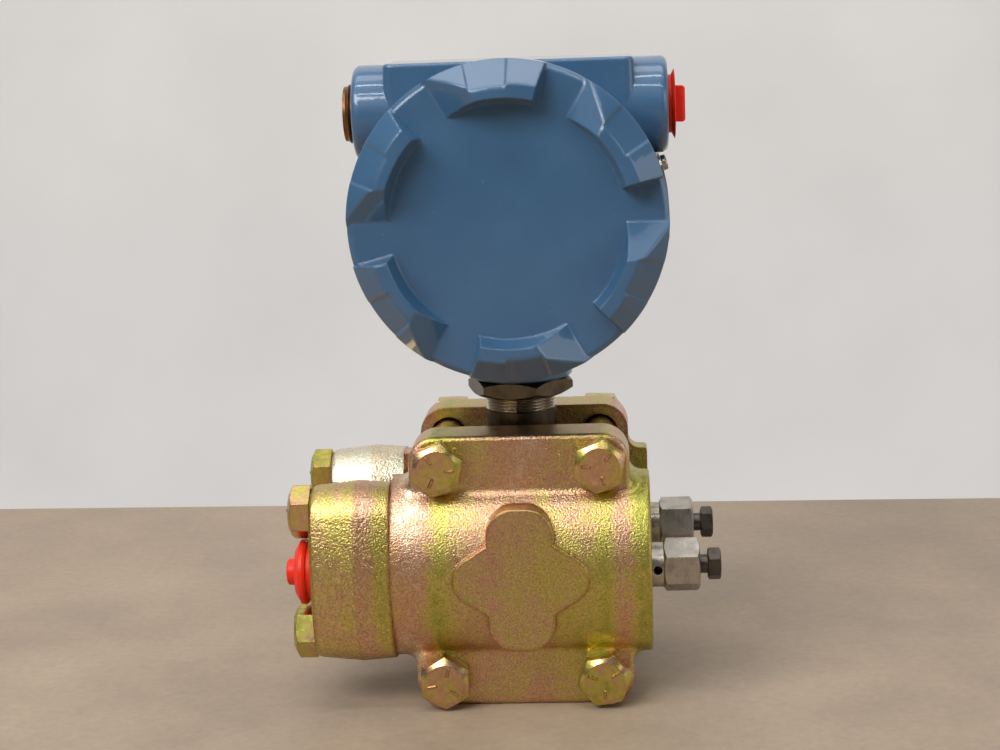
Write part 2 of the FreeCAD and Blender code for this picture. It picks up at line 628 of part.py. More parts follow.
def nameplate_pad():
    """Raised seat for the nameplate on the +X side of the body."""
    half = PAD_WIDTH / 2
    wedge = turned_on_y([(-half, 30.0), (half, 30.0), (half, PAD_R), (-half, PAD_R)],
                        2 * PAD_HALF_ANGLE)
    wedge.rotate(Vector(0, 0, HOUSING_Z), Y_AXIS, -PAD_HALF_ANGLE)
    return wedge


def housing_shell():
    """Outer form of the casting before the compartments are opened."""
    rear_ring_r = THREAD_RING_R - REAR_COVER_INSET
    body = turned_on_y([(-RING_HALF_LENGTH, 0), (-RING_HALF_LENGTH, THREAD_RING_R),
                        (-BODY_HALF_LENGTH, THREAD_RING_R),
                        (-BODY_HALF_LENGTH, BODY_R - BODY_EDGE_R),
                        (-BODY_HALF_LENGTH + BODY_EDGE_R, BODY_R),
                        (BODY_HALF_LENGTH - BODY_EDGE_R, BODY_R),
                        (BODY_HALF_LENGTH, BODY_R - BODY_EDGE_R),
                        (BODY_HALF_LENGTH, rear_ring_r),
                        (RING_HALF_LENGTH, rear_ring_r), (RING_HALF_LENGTH, 0)])
    boss = cylinder(NECK_BOSS_R, Vector(0, 0, BOSS_BOTTOM), Z_AXIS, HOUSING_Z - BOSS_BOTTOM)
    boss = fillet_edges(boss, 1.0, lambda edge: abs(edge.BoundBox.ZMax - BOSS_BOTTOM) < 0.01)
    return body.fuse([boss, top_block(), nameplate_pad()])


def electronics_housing():
    axis = Vector(0, 0, HOUSING_Z)
    shell = housing_shell()
    front_room = cylinder(COMPARTMENT_R, axis + Y_AXIS * PARTITION_FRONT, -Y_AXIS,
                          RING_HALF_LENGTH + PARTITION_FRONT)
    rear_room = cylinder(COMPARTMENT_R - REAR_COVER_INSET, axis + Y_AXIS * PARTITION_BACK, Y_AXIS,
                         RING_HALF_LENGTH - PARTITION_BACK)
    hollow = shell.cut([front_room, rear_room])
    inner_boss = cylinder(INNER_BOSS_R, Vector(0, 0, BOSS_BOTTOM), Z_AXIS,
                          INNER_BOSS_TOP - BOSS_BOTTOM)
    solid = hollow.fuse([conduit_tube(), inner_boss])
    cuts = [
        cylinder(NECK_FIT_R, Vector(0, 0, BOSS_BOTTOM), Z_AXIS, NECK_TOP + 1 - BOSS_BOTTOM),
        cylinder(GROUND_SCREW_STEM_R + RUNNING_CLEARANCE,
                 Vector(GROUND_SCREW_PLACE[0], PARTITION_BACK, HOUSING_Z + GROUND_SCREW_PLACE[1]),
                 -Y_AXIS, GROUND_SCREW_STEM),
        box(-WIRE_SLOT_HALF_WIDTH, WIRE_SLOT_HALF_WIDTH, -INNER_BOSS_R, 0,
            NECK_TOP - NECK_STOP / 2, INNER_BOSS_TOP + WIRE_SLOT_RISE),
        box(-CONDUIT_SLOT_HALF_WIDTH, CONDUIT_SLOT_HALF_WIDTH, 0, CONDUIT_BOSS_R + 1,
            CONDUIT_Z - PIPE_THREAD_R, CONDUIT_Z + CONDUIT_SLOT_RISE),
    ]
    for side in (-1, 1):
        cuts.append(cylinder(PIPE_THREAD_R, Vector(side * CONDUIT_END, 0, CONDUIT_Z),
                             X_AXIS * -side, CONDUIT_BORE_DEPTH))
    for y in ADJUSTER_PLACES:
        cuts.append(cylinder(ADJUSTER_R + 2 * RUNNING_CLEARANCE, Vector(COMPARTMENT_R / 2, y,
                                                                        HOUSING_Z),
                             X_AXIS, PAD_R))
        cuts.append(cylinder(ADJUSTER_R + 1.35, Vector(BODY_R, y, HOUSING_Z), X_AXIS, 1.4))
    for k in (-1, 0, 1):
        cuts.append(cylinder(PIN_COLLAR_R, Vector(PIN_PITCH * k, PARTITION_FRONT,
                                                  HOUSING_Z - PIN_DROP),
                             Y_AXIS, PARTITION_BACK - PARTITION_FRONT))
    for angle in (-NAMEPLATE_SCREW_ANGLE, NAMEPLATE_SCREW_ANGLE):
        hole = cylinder(NAMEPLATE_SCREW_R + RUNNING_CLEARANCE,
                        Vector(PAD_R - NAMEPLATE_SCREW_LENGTH, 0, HOUSING_Z), X_AXIS,
                        NAMEPLATE_SCREW_LENGTH + 1)
        hole.rotate(axis, Y_AXIS, angle)
        cuts.append(hole)
    return solid.cut(cuts).removeSplitter()


# ---- Covers ---------------------------------------------------------------------------
def lug():
    """One wrench lug: a wedge section with a square end, a ramped end and a notch."""
    top = -COVER_FACE_Y - LUG_HEIGHT
    foot = -COVER_FACE_Y + COVER_RIM_CHAMFER
    low = -COVER_FACE_Y - LUG_OUTER_FOOT_RISE
    outline = [(foot, LUG_INNER_FOOT_R), (-COVER_FACE_Y, LUG_INNER_FOOT_R),
               (top, LUG_INNER_TOP_R), (top, LUG_OUTER_TOP_R),
               (low, LUG_OUTER_FOOT_R), (foot, LUG_OUTER_FOOT_R)]
    solid = turned_on_y(outline, LUG_ANGLE)
    reach = LUG_OUTER_FOOT_R + 5
    over = 1.2
    ramp = polygon_face([Vector(0, -COVER_FACE_Y, 1),
                         Vector(0, -COVER_FACE_Y - over * LUG_HEIGHT, 1),
                         Vector(0, -COVER_FACE_Y - over * LUG_HEIGHT,
                                -LUG_RAMP_START - over * LUG_RAMP_RUN),
                         Vector(0, -COVER_FACE_Y, -LUG_RAMP_START)])
    ramp.translate(Vector(0, 0, HOUSING_Z))
    solid = solid.cut(ramp.extrude(Vector(reach, 0, 0)))
    notch = turned_on_y([(foot, LUG_OUTER_FOOT_R - LUG_NOTCH_DEPTH),
                         (low, LUG_OUTER_FOOT_R - LUG_NOTCH_DEPTH),
                         (low - LUG_NOTCH_LENGTH, LUG_OUTER_TOP_R + LUG_NOTCH_DEPTH / 2),
                         (low - LUG_NOTCH_LENGTH, reach), (foot, reach)],
                        LUG_NOTCH_ANGLE)
    notch.rotate(Vector(0, 0, HOUSING_Z), Y_AXIS, LUG_NOTCH_START)
    return solid.cut(notch)


def cover(inset):
    """Screw cover facing -Y: a cup with lugs round its face, its radii less an inset."""
    inside = -COVER_FACE_Y + COVER_FACE_THICKNESS
    chamfer = COVER_RIM_CHAMFER
    rim_r = COVER_RIM_R - inset
    bore_r = SKIRT_BORE_R - inset
    cup = turned_on_y([(-COVER_FACE_Y, 0), (-COVER_FACE_Y, rim_r - chamfer),
                       (-COVER_FACE_Y + chamfer, rim_r), (-SKIRT_END_Y, COVER_SKIRT_R - inset),
                       (-SKIRT_END_Y, bore_r), (inside, bore_r), (inside, 0)])
    groove_y = -SKIRT_END_Y - COVER_SEAL_OFFSET
    groove_half = COVER_SEAL_CORD_R + RUNNING_CLEARANCE
    groove_r = bore_r + 2 * COVER_SEAL_CORD_R + 3 * RUNNING_CLEARANCE
    groove = turned_on_y([(groove_y - groove_half, bore_r - 1), (groove_y - groove_half, groove_r),
                          (groove_y + groove_half, groove_r),
                          (groove_y + groove_half, bore_r - 1)])
    first = lug()
    lugs = []
    for k in range(LUG_COUNT):
        turn = 360.0 * k / LUG_COUNT - LUG_FIRST_TIP
        piece = first.copy()
        middle = math.radians(LUG_ANGLE / 2)
        piece.translate(Vector(-inset * math.cos(middle), 0, inset * math.sin(middle)))
        piece.rotate(Vector(0, 0, HOUSING_Z), Y_AXIS, turn)
        lugs.append(piece)
    rim = cylinder(rim_r, Vector(0, -COVER_FACE_Y - LUG_HEIGHT - 1, HOUSING_Z), Y_AXIS,
                   COVER_FACE_Y)
    crown = lugs[0].fuse(lugs[1:]).common(rim)
    return cup.cut(groove).fuse(crown).removeSplitter()


def cover_seal(inset):
    centre = Vector(0, -SKIRT_END_Y - COVER_SEAL_OFFSET, HOUSING_Z)
    return ring(SKIRT_BORE_R - inset + COVER_SEAL_CORD_R + RUNNING_CLEARANCE, COVER_SEAL_CORD_R,
                centre, Y_AXIS)


# ---- Plugs ----------------------------------------------------------------------------
def conduit_cap():
    """Red push-in plug of the right conduit: stem, thin flared flange and square knob."""
    x0 = CONDUIT_END
    centre = Vector(0, 0, CONDUIT_Z)
    flange_x = x0 + CAP_NECK
    knob_x = flange_x + CAP_FLANGE_THICKNESS
    solid = turned_on_x([(x0 - PLUG_STEM_DEPTH, 0), (x0 - PLUG_STEM_DEPTH, PLUG_STEM_R - 0.5),
                         (x0, PLUG_STEM_R), (flange_x, PLUG_STEM_R),
                         (knob_x, CAP_FLANGE_R), (knob_x + 0.2, CAP_FLANGE_R - 0.6),
                         (knob_x + 0.2, 0)], centre)
    half = CAP_KNOB_SIZE / 2
    knob = box(knob_x, knob_x + CAP_KNOB_LENGTH, -half / 2, half / 2, CONDUIT_Z - half,
               CONDUIT_Z + half)
    knob = fillet_edges(knob, 1.1, lambda edge: edge.BoundBox.XMin > knob_x + 0.1)
    return solid.fuse(knob)


def threaded_profile(start, end, radius):
    """(x, radius) points of a run of thread ridges."""
    count = int((end - start) / THREAD_PITCH)
    points = [(start, radius - THREAD_DEPTH)]
    for k in range(count):
        points.append((start + (k + 0.5) * THREAD_PITCH, radius))
        points.append((start + (k + 1.0) * THREAD_PITCH, radius - THREAD_DEPTH))
    return points


def conduit_plug():
    """Threaded metal plug in the left conduit with a square socket in its face."""
    centre = Vector(0, 0, CONDUIT_Z)
    end = CONDUIT_END + METAL_PLUG_PROUD
    points = threaded_profile(CONDUIT_END - PLUG_STEM_DEPTH, end, METAL_PLUG_CREST_R)
    profile = [(-points[0][0], 0)] + [(-x, r) for x, r in points]
    profile += [(-end, METAL_PLUG_CREST_R - THREAD_DEPTH), (-end, 0)]
    solid = turned_on_x(profile, centre)
    half = 4.8
    return solid.cut(box(-end, -end + 7, -half, half, CONDUIT_Z - half, CONDUIT_Z + half))


def port_plug():
    """Red push-in plug of the front adapter: stem, thick disc and round knob."""
    face = -ADAPTER_X
    disc = face - PORT_PLUG_STANDOFF
    outer = disc - PORT_PLUG_DISC_THICKNESS
    end = outer - PORT_PLUG_KNOB_LENGTH
    centre = Vector(0, -PORT_Y, CENTRE_Z)
    return turned_on_x([(face + PLUG_STEM_DEPTH, 0), (face + PLUG_STEM_DEPTH, PLUG_STEM_R - 0.5),
                        (face, PLUG_STEM_R), (disc, PLUG_STEM_R),
                        (disc, PORT_PLUG_DISC_R - 0.6), (disc - 0.9, PORT_PLUG_DISC_R),
                        (disc - 2.2, PORT_PLUG_DISC_R - 0.2), (outer, PORT_PLUG_DISC_R - 3.0),
                        (outer, PORT_PLUG_KNOB_R), (end + 0.5, PORT_PLUG_KNOB_R - 0.2),
                        (end, PORT_PLUG_KNOB_R - 0.9), (end, 0)], centre)


# ---- Vent valve -----------------------------------------------------------------------
def vent_body(turn):
    """Valve body: threaded root, round seat with its vent hole, and long hexagon."""
    face = Vector(END_X, -PORT_Y, CENTRE_Z)
    root = cylinder(VENT_TAP_R, face, -X_AXIS, VENT_TAP_DEPTH - 2)
    seat = cylinder(VENT_SEAT_R, face, X_AXIS, VENT_SEAT_LENGTH)
    hex_start = Vector(VENT_HEX_X, -PORT_Y, CENTRE_Z)
    body = hexagon(VENT_HEX_AF, VENT_HEX_LENGTH, hex_start, X_AXIS, turn, (True, True))
    solid = root.fuse([seat, body])
    screw_bore = cylinder(VENT_SCREW_R + RUNNING_CLEARANCE, Vector(VENT_FACE_X, -PORT_Y,
                                                                   CENTRE_Z),
                          -X_AXIS, VENT_HEX_LENGTH + VENT_SEAT_LENGTH)
    orifice = cylinder(VENT_HOLE_R, face, -X_AXIS, VENT_TAP_DEPTH)
    side_hole = cylinder(VENT_HOLE_R, Vector(END_X + VENT_SEAT_LENGTH / 2, -PORT_Y, CENTRE_Z),
                         -Y_AXIS, VENT_SEAT_R + 1)
    return solid.cut([screw_bore, orifice, side_hole]).removeSplitter()


def vent_screw(turn):
    """Vent screw with a coned tip on the seat and a small hexagon head outside."""
    tip = END_X + 0.4
    shank_end = VENT_FACE_X + VENT_SHANK_LENGTH
    centre = Vector(0, -PORT_Y, CENTRE_Z)
    shank = turned_on_x([(tip, 0), (tip + VENT_SCREW_R - 1.4, VENT_SCREW_R),
                         (shank_end, VENT_SCREW_R), (shank_end, 0)], centre)
    head = hexagon(VENT_HEAD_AF, VENT_HEAD_LENGTH, Vector(shank_end, -PORT_Y, CENTRE_Z), X_AXIS,
                   turn, (True, True))
    return shank.fuse(head).removeSplitter()


# ---- Electronics ----------------------------------------------------------------------
def board(y, parts):
    """Round circuit board with its block-shaped parts on the front side."""
    disc = cylinder(BOARD_R, Vector(0, y, HOUSING_Z), -Y_AXIS, BOARD_THICKNESS)
    cuts = []
    for x, z in SPACER_PLACES:
        cuts.append(cylinder(BOARD_STUD_R + 2 * RUNNING_CLEARANCE, Vector(x, y, HOUSING_Z + z),
                             -Y_AXIS, BOARD_THICKNESS))
    disc = disc.cut(cuts)
    front = y - BOARD_THICKNESS
    blocks = [box(x - w / 2, x + w / 2, front - d, front, HOUSING_Z + z - h / 2,
                  HOUSING_Z + z + h / 2) for x, z, w, h, d in parts]
    return disc.fuse(blocks)


def amplifier_board():
    return board(AMPLIFIER_Y, AMPLIFIER_PARTS)


def calibration_board():
    return board(CALIBRATION_Y, CALIBRATION_PARTS)


def board_spacer(x, z):
    """Post from the partition through the amplifier board to the calibration board."""
    back = Vector(x, PARTITION_FRONT, HOUSING_Z + z)
    first = cylinder(SPACER_R, back, -Y_AXIS, PARTITION_FRONT - AMPLIFIER_Y)
    stud = cylinder(BOARD_STUD_R, back, -Y_AXIS, PARTITION_FRONT - CALIBRATION_Y)
    second_start = Vector(x, AMPLIFIER_Y - BOARD_THICKNESS, HOUSING_Z + z)
    second = cylinder(SPACER_R, second_start, -Y_AXIS,
                      AMPLIFIER_Y - BOARD_THICKNESS - CALIBRATION_Y)
    return first.fuse([stud, second]).removeSplitter()


def board_screw(x, z):
    seat = Vector(x, CALIBRATION_Y - BOARD_THICKNESS, HOUSING_Z + z)
    head = cylinder(BOARD_SCREW_HEAD_R, seat, -Y_AXIS, BOARD_SCREW_HEAD_HEIGHT)
    stem = cylinder(BOARD_STUD_R, seat, Y_AXIS, BOARD_THICKNESS)
    slot = box(x - BOARD_SCREW_HEAD_R, x + BOARD_SCREW_HEAD_R, seat.y - BOARD_SCREW_HEAD_HEIGHT,
               seat.y - BOARD_SCREW_HEAD_HEIGHT / 2, seat.z - SLOT_WIDTH / 2,
               seat.z + SLOT_WIDTH / 2)
    return head.fuse(stem).cut(slot)


def terminal_block():
    """Moulded block on the partition with a raised barrier between its terminals."""
    half_w = TERMINAL_WIDTH / 2
    half_h = TERMINAL_HEIGHT / 2
    y0 = PARTITION_BACK
    solid = box(-half_w, half_w, y0, y0 + TERMINAL_DEPTH, HOUSING_Z - half_h, HOUSING_Z + half_h)
    barriers = []
    for k in (-1.5, -0.5, 0.5, 1.5):
        x = k * TERMINAL_PITCH
        barriers.append(box(x - BARRIER_THICKNESS / 2, x + BARRIER_THICKNESS / 2,
                            y0 + TERMINAL_DEPTH, y0 + TERMINAL_DEPTH + BARRIER_RISE,
                            HOUSING_Z - half_h, HOUSING_Z + half_h))
    solid = solid.fuse(barriers)
    cuts = [cylinder(TERMINAL_SCREW_R + RUNNING_CLEARANCE,
                     Vector(k * TERMINAL_PITCH, y0 + TERMINAL_DEPTH, HOUSING_Z), -Y_AXIS,
                     TERMINAL_SCREW_LENGTH + 0.5) for k in (-1, 0, 1)]
    return solid.cut(cuts)


def slotted_screw(head_r, head_h, stem_r, stem_length):
    """Pan-head screw pointing down -Z with its head's underside at the origin."""
    head = cylinder(head_r, Vector(0, 0, 0), Z_AXIS, head_h)
    head = fillet_edges(head, head_h * 0.4, lambda edge: edge.BoundBox.ZMin > head_h / 2)
    stem = cylinder(stem_r, Vector(0, 0, 0), -Z_AXIS, stem_length)
    slot = box(-head_r, head_r, -SLOT_WIDTH / 2, SLOT_WIDTH / 2, head_h * 0.5, head_h)
    return head.fuse(stem).cut(slot)


def placed(shape, point, axis):
    shape.Placement = FreeCAD.Placement(point, FreeCAD.Rotation(Z_AXIS, axis))
    return shape


def terminal_screw(k):
    seat = Vector(k * TERMINAL_PITCH, PARTITION_BACK + TERMINAL_DEPTH, HOUSING_Z)
    screw = slotted_screw(TERMINAL_HEAD_R, TERMINAL_HEAD_HEIGHT, TERMINAL_SCREW_R,
                          TERMINAL_SCREW_LENGTH)
    return placed(screw, seat, Y_AXIS)


def ground_screw():
    seat = Vector(GROUND_SCREW_PLACE[0], PARTITION_BACK, HOUSING_Z + GROUND_SCREW_PLACE[1])
    screw = slotted_screw(GROUND_HEAD_R, GROUND_HEAD_HEIGHT, GROUND_SCREW_STEM_R,
                          GROUND_SCREW_STEM)
    return placed(screw, seat, Y_AXIS)


def feedthrough_pin(k):
    """Stepped pin through the partition."""
    start = Vector(PIN_PITCH * k, PARTITION_FRONT, HOUSING_Z - PIN_DROP)
    collar = cylinder(PIN_COLLAR_R, start, Y_AXIS, PARTITION_BACK - PARTITION_FRONT)
    pin = cylinder(PIN_R, start - Y_AXIS * PIN_REACH, Y_AXIS,
                   PARTITION_BACK - PARTITION_FRONT + 2 * PIN_REACH)
    return collar.fuse(pin)


def adjuster(y):
    """Slotted adjusting screw under the nameplate."""
    start = Vector(COMPARTMENT_R - 4, y, HOUSING_Z)
    length = PAD_R - 1.5 - start.x
    stem = cylinder(ADJUSTER_R, start, X_AXIS, length)
    slot = box(start.x + length - 1.2, start.x + length, y - ADJUSTER_R, y + ADJUSTER_R,
               HOUSING_Z - 0.4, HOUSING_Z + 0.4)
    return stem.cut(slot)


def adjuster_seal(y):
    centre = Vector(BODY_R + 0.7, y, HOUSING_Z)
    return ring(ADJUSTER_R + ADJUSTER_SEAL_CORD_R + RUNNING_CLEARANCE, ADJUSTER_SEAL_CORD_R,
                centre, X_AXIS)


def nameplate():
    """Blank curved plate over the adjusting screws."""
    inner = PAD_R + RUNNING_CLEARANCE
    outer = inner + NAMEPLATE_THICKNESS
    half = NAMEPLATE_WIDTH / 2
    plate = turned_on_y([(-half, inner), (half, inner), (half, outer), (-half, outer)],
                        2 * NAMEPLATE_HALF_ANGLE)
    plate.rotate(Vector(0, 0, HOUSING_Z), Y_AXIS, -NAMEPLATE_HALF_ANGLE)
    plate = fillet_edges(plate, 3.0, lambda edge: abs(edge.Length - NAMEPLATE_THICKNESS) < 0.01)
    for angle in (-NAMEPLATE_SCREW_ANGLE, NAMEPLATE_SCREW_ANGLE):
        hole = cylinder(NAMEPLATE_SCREW_R + 5 * RUNNING_CLEARANCE,
                        Vector(inner - 2, 0, HOUSING_Z), X_AXIS, 6)
        hole.rotate(Vector(0, 0, HOUSING_Z), Y_AXIS, angle)
        plate = plate.cut(hole)
    return plate


def nameplate_screw(angle):
    seat = Vector(PAD_R + RUNNING_CLEARANCE + NAMEPLATE_THICKNESS, 0, HOUSING_Z)
    screw = slotted_screw(NAMEPLATE_HEAD_R, NAMEPLATE_HEAD_HEIGHT, NAMEPLATE_SCREW_R,
                          NAMEPLATE_SCREW_LENGTH)
    screw = placed(screw, seat, X_AXIS)
    screw.rotate(Vector(0, 0, HOUSING_Z), Y_AXIS, angle)
    return screw


# ---- Nodes ----------------------------------------------------------------------------
def front_and_rear(shape):
    return [shape, mirrored(shape)]


def half_turned(shape):
    """Rear copy of a cover piece, turned so that its lugs keep their hand."""
    copy = shape.copy()
    copy.rotate(Vector(0, 0, 0), Z_AXIS, 180)
    return copy


def base_nodes():
    adapter_bolts = [adapter_bolt(TAP_HEIGHTS[0], ADAPTER_TOP_HEAD_TURN),
                     adapter_bolt(TAP_HEIGHTS[1], ADAPTER_LOW_HEAD_TURN)]
    flange = front_flange()
    adapter = front_adapter()
    return {
        "sensor_module": [sensor_module()],
        "isolating_diaphragms": front_and_rear(diaphragm()),
        "module_header": [module_header()],
        "flange_seals": front_and_rear(flange_seal()),
        "front_flange": [flange],
        "rear_flange": [mirrored(flange)],
        "flange_bolts": [flange_bolt(x, z, turn)
                         for (x, z), turn in zip(BOLT_PLACES, FRONT_HEAD_TURNS)],
        "flange_nuts": [flange_nut(x, z, turn)
                        for (x, z), turn in zip(BOLT_PLACES, NUT_TURNS)],
        "front_adapter": [adapter],
        "rear_adapter": [mirrored(adapter)],
        "adapter_seals": front_and_rear(adapter_seal()),
        "adapter_bolts": adapter_bolts + [mirrored(bolt) for bolt in adapter_bolts],
        "front_vent_body": [vent_body(FRONT_VENT_TURN)],
        "rear_vent_body": [mirrored(vent_body(REAR_VENT_TURN))],
        "front_vent_screw": [vent_screw(FRONT_VENT_TURN)],
        "rear_vent_screw": [mirrored(vent_screw(REAR_VENT_TURN))],
        "front_port_plug": [port_plug()],
        "rear_port_plug": [mirrored(port_plug())],
        "lock_nut": [lock_nut()],
    }


def housing_nodes():
    return {
        "electronics_housing": [electronics_housing()],
        "front_cover": [cover(0.0)],
        "rear_cover": [half_turned(cover(REAR_COVER_INSET))],
        "front_cover_seal": [cover_seal(0.0)],
        "rear_cover_seal": [half_turned(cover_seal(REAR_COVER_INSET))],
        "amplifier_board": [amplifier_board()],
        "calibration_board": [calibration_board()],
        "board_spacers": [board_spacer(x, z) for x, z in SPACER_PLACES],
        "board_screws": [board_screw(x, z) for x, z in SPACER_PLACES],
        "terminal_block": [terminal_block()],
        "terminal_screws": [terminal_screw(k) for k in (-1, 0, 1)],
        "ground_screw": [ground_screw()],
        "feedthrough_pins": [feedthrough_pin(k) for k in (-1, 0, 1)],
        "zero_adjuster": [adjuster(ADJUSTER_PLACES[0])],
        "span_adjuster": [adjuster(ADJUSTER_PLACES[1])],
        "adjuster_seals": [adjuster_seal(y) for y in ADJUSTER_PLACES],
        "nameplate": [nameplate()],
        "nameplate_screws": [nameplate_screw(angle)
                             for angle in (-NAMEPLATE_SCREW_ANGLE, NAMEPLATE_SCREW_ANGLE)],
        "conduit_cap": [conduit_cap()],
        "conduit_plug": [conduit_plug()],
    }


def build():
    nodes = base_nodes()
    nodes.update(housing_nodes())
    return nodes


def main():
    os.makedirs("parts", exist_ok=True)
    for name, solids in build().items():
        shape = solids[0] if len(solids) == 1 else Part.makeCompound(solids)
        shape.translate(Vector(ORIGIN_SHIFT, 0, 0))
        shape.exportStep("parts/" + name + ".step")


if __name__ == "__main__":
    main()
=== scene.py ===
"""Looks of a differential pressure transmitter, laid out as a Blender add-on.

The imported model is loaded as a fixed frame.  Each operator dresses one piece or one
group of like pieces, and the stage operator makes the floor, the light and the camera.
Lengths in the property groups are metres, helpers that shape small parts take
millimetres.
"""
import json
import math

import bmesh
import bpy
from bpy.props import FloatProperty, FloatVectorProperty, IntProperty, PointerProperty
from mathutils import Matrix, Vector


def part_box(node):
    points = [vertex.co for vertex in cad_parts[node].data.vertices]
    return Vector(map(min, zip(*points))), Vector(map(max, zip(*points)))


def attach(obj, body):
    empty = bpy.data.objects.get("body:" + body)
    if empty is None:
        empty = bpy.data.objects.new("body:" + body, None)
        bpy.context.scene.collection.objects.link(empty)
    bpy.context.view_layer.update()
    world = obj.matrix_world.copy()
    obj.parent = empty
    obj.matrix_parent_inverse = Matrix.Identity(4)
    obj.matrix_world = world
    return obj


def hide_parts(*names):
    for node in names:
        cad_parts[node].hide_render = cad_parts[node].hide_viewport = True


bl_info = {
    "name": "Differential Pressure Transmitter",
    "version": (1, 0, 0),
    "blender": (4, 5, 0),
    "location": "View3D > Sidebar > Transmitter",
    "description": "Dresses a packed pressure transmitter with its finishes and fine parts",
    "category": "Object",
}

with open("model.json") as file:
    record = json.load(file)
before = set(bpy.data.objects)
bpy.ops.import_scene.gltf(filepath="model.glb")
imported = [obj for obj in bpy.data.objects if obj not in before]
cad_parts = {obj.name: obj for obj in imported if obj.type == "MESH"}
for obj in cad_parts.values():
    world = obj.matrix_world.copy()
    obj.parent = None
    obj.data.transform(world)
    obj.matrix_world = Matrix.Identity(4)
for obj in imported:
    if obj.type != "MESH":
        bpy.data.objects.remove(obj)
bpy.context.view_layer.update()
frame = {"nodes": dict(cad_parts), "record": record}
MM = 0.001


# ---- Sizes read from the frame --------------------------------------------------------
def middle(node):
    low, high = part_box(node)
    return (Vector(low) + Vector(high)) / 2


COVER_CENTRE = middle("front_cover")
HOUSING_CENTRE = Vector((COVER_CENTRE.x, 0.0, COVER_CENTRE.z))
COVER_LOW, COVER_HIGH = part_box("front_cover")
LUG_TOP = 9.0                # mm from the cover's face to the lugs' tops
COVER_FACE_Y = -COVER_LOW[1] - LUG_TOP * MM
COVER_SKIRT_Y = -COVER_HIGH[1]
FRAME_SHIFT = HOUSING_CENTRE.x               # the neck's axis in the frame


# ---- Colour and node helpers ----------------------------------------------------------
def linear(hex_colour):
    """Linear RGBA of an sRGB hex colour."""
    values = [int(hex_colour[i:i + 2], 16) / 255 for i in (1, 3, 5)]
    out = [v / 12.92 if v <= 0.04045 else ((v + 0.055) / 1.055) ** 2.4 for v in values]
    return (*out, 1.0)


def add(tree, kind, inputs=None, **settings):
    """Add a node, set its settings, and set or link its inputs."""
    node = tree.nodes.new(kind)
    for name, value in settings.items():
        setattr(node, name, value)
    for name, value in (inputs or {}).items():
        if isinstance(value, bpy.types.NodeSocket):
            tree.links.new(value, node.inputs[name])
        else:
            node.inputs[name].default_value = value
    return node


def per_mm(size_mm):
    """Texture scale that gives features of about this size."""
    return 1.0 / (size_mm * MM)


def new_material(name):
    material = bpy.data.materials.new(name)
    material.use_nodes = True
    material.node_tree.nodes.clear()
    return material, material.node_tree


def set_ramp(node, stops):
    ramp = node.color_ramp
    while len(ramp.elements) > 1:
        ramp.elements.remove(ramp.elements[-1])
    ramp.elements[0].position = stops[0][0]
    ramp.elements[0].color = stops[0][1]
    for position, colour in stops[1:]:
        ramp.elements.new(position).color = colour


# ---- Sizes and colours a user would change --------------------------------------------
class TransmitterSizes(bpy.types.PropertyGroup):
    """Sizes of the fine parts that the scene adds."""
    cover_segments: IntProperty(name="Cover segments", description="Divisions round a cover",
                                default=960, min=120, max=1440)
    lug_edge: FloatProperty(name="Lug edge", description="Softness of the lugs' edges",
                            default=0.45 * MM, unit="LENGTH")
    grade_line: FloatProperty(name="Grade line", description="Width of a bolt's grade line",
                              default=1.1 * MM, unit="LENGTH")
    casting_edge: FloatProperty(name="Casting edge", description="Rounding seen on castings",
                                default=0.9 * MM, unit="LENGTH")
    machined_edge: FloatProperty(name="Machined edge", description="Rounding on turned parts",
                                 default=0.3 * MM, unit="LENGTH")


class TransmitterColours(bpy.types.PropertyGroup):
    """Base colours of the finishes."""
    paint: FloatVectorProperty(name="Paint", description="Polyurethane paint on the housing",
                               subtype="COLOR", size=4, min=0, max=1,
                               default=linear("#345E83"))
    plug: FloatVectorProperty(name="Plug", description="Polyethylene of the shipping plugs",
                              subtype="COLOR", size=4, min=0, max=1,
                              default=linear("#EE2A08"))
    floor: FloatVectorProperty(name="Floor", description="Floor under the transmitter",
                               subtype="COLOR", size=4, min=0, max=1,
                               default=linear("#A4927F"))
    wall: FloatVectorProperty(name="Wall", description="Backdrop behind the transmitter",
                              subtype="COLOR", size=4, min=0, max=1,
                              default=linear("#E2E0DF"))


def sizes():
    return bpy.context.scene.transmitter_sizes


def colours():
    return bpy.context.scene.transmitter_colours


# ---- Finishes -------------------------------------------------------------------------
def soft_edges(tree, radius):
    """Normal that rounds the edges of a sharp mesh."""
    return add(tree, "ShaderNodeBevel", {"Radius": radius}, samples=4).outputs["Normal"]


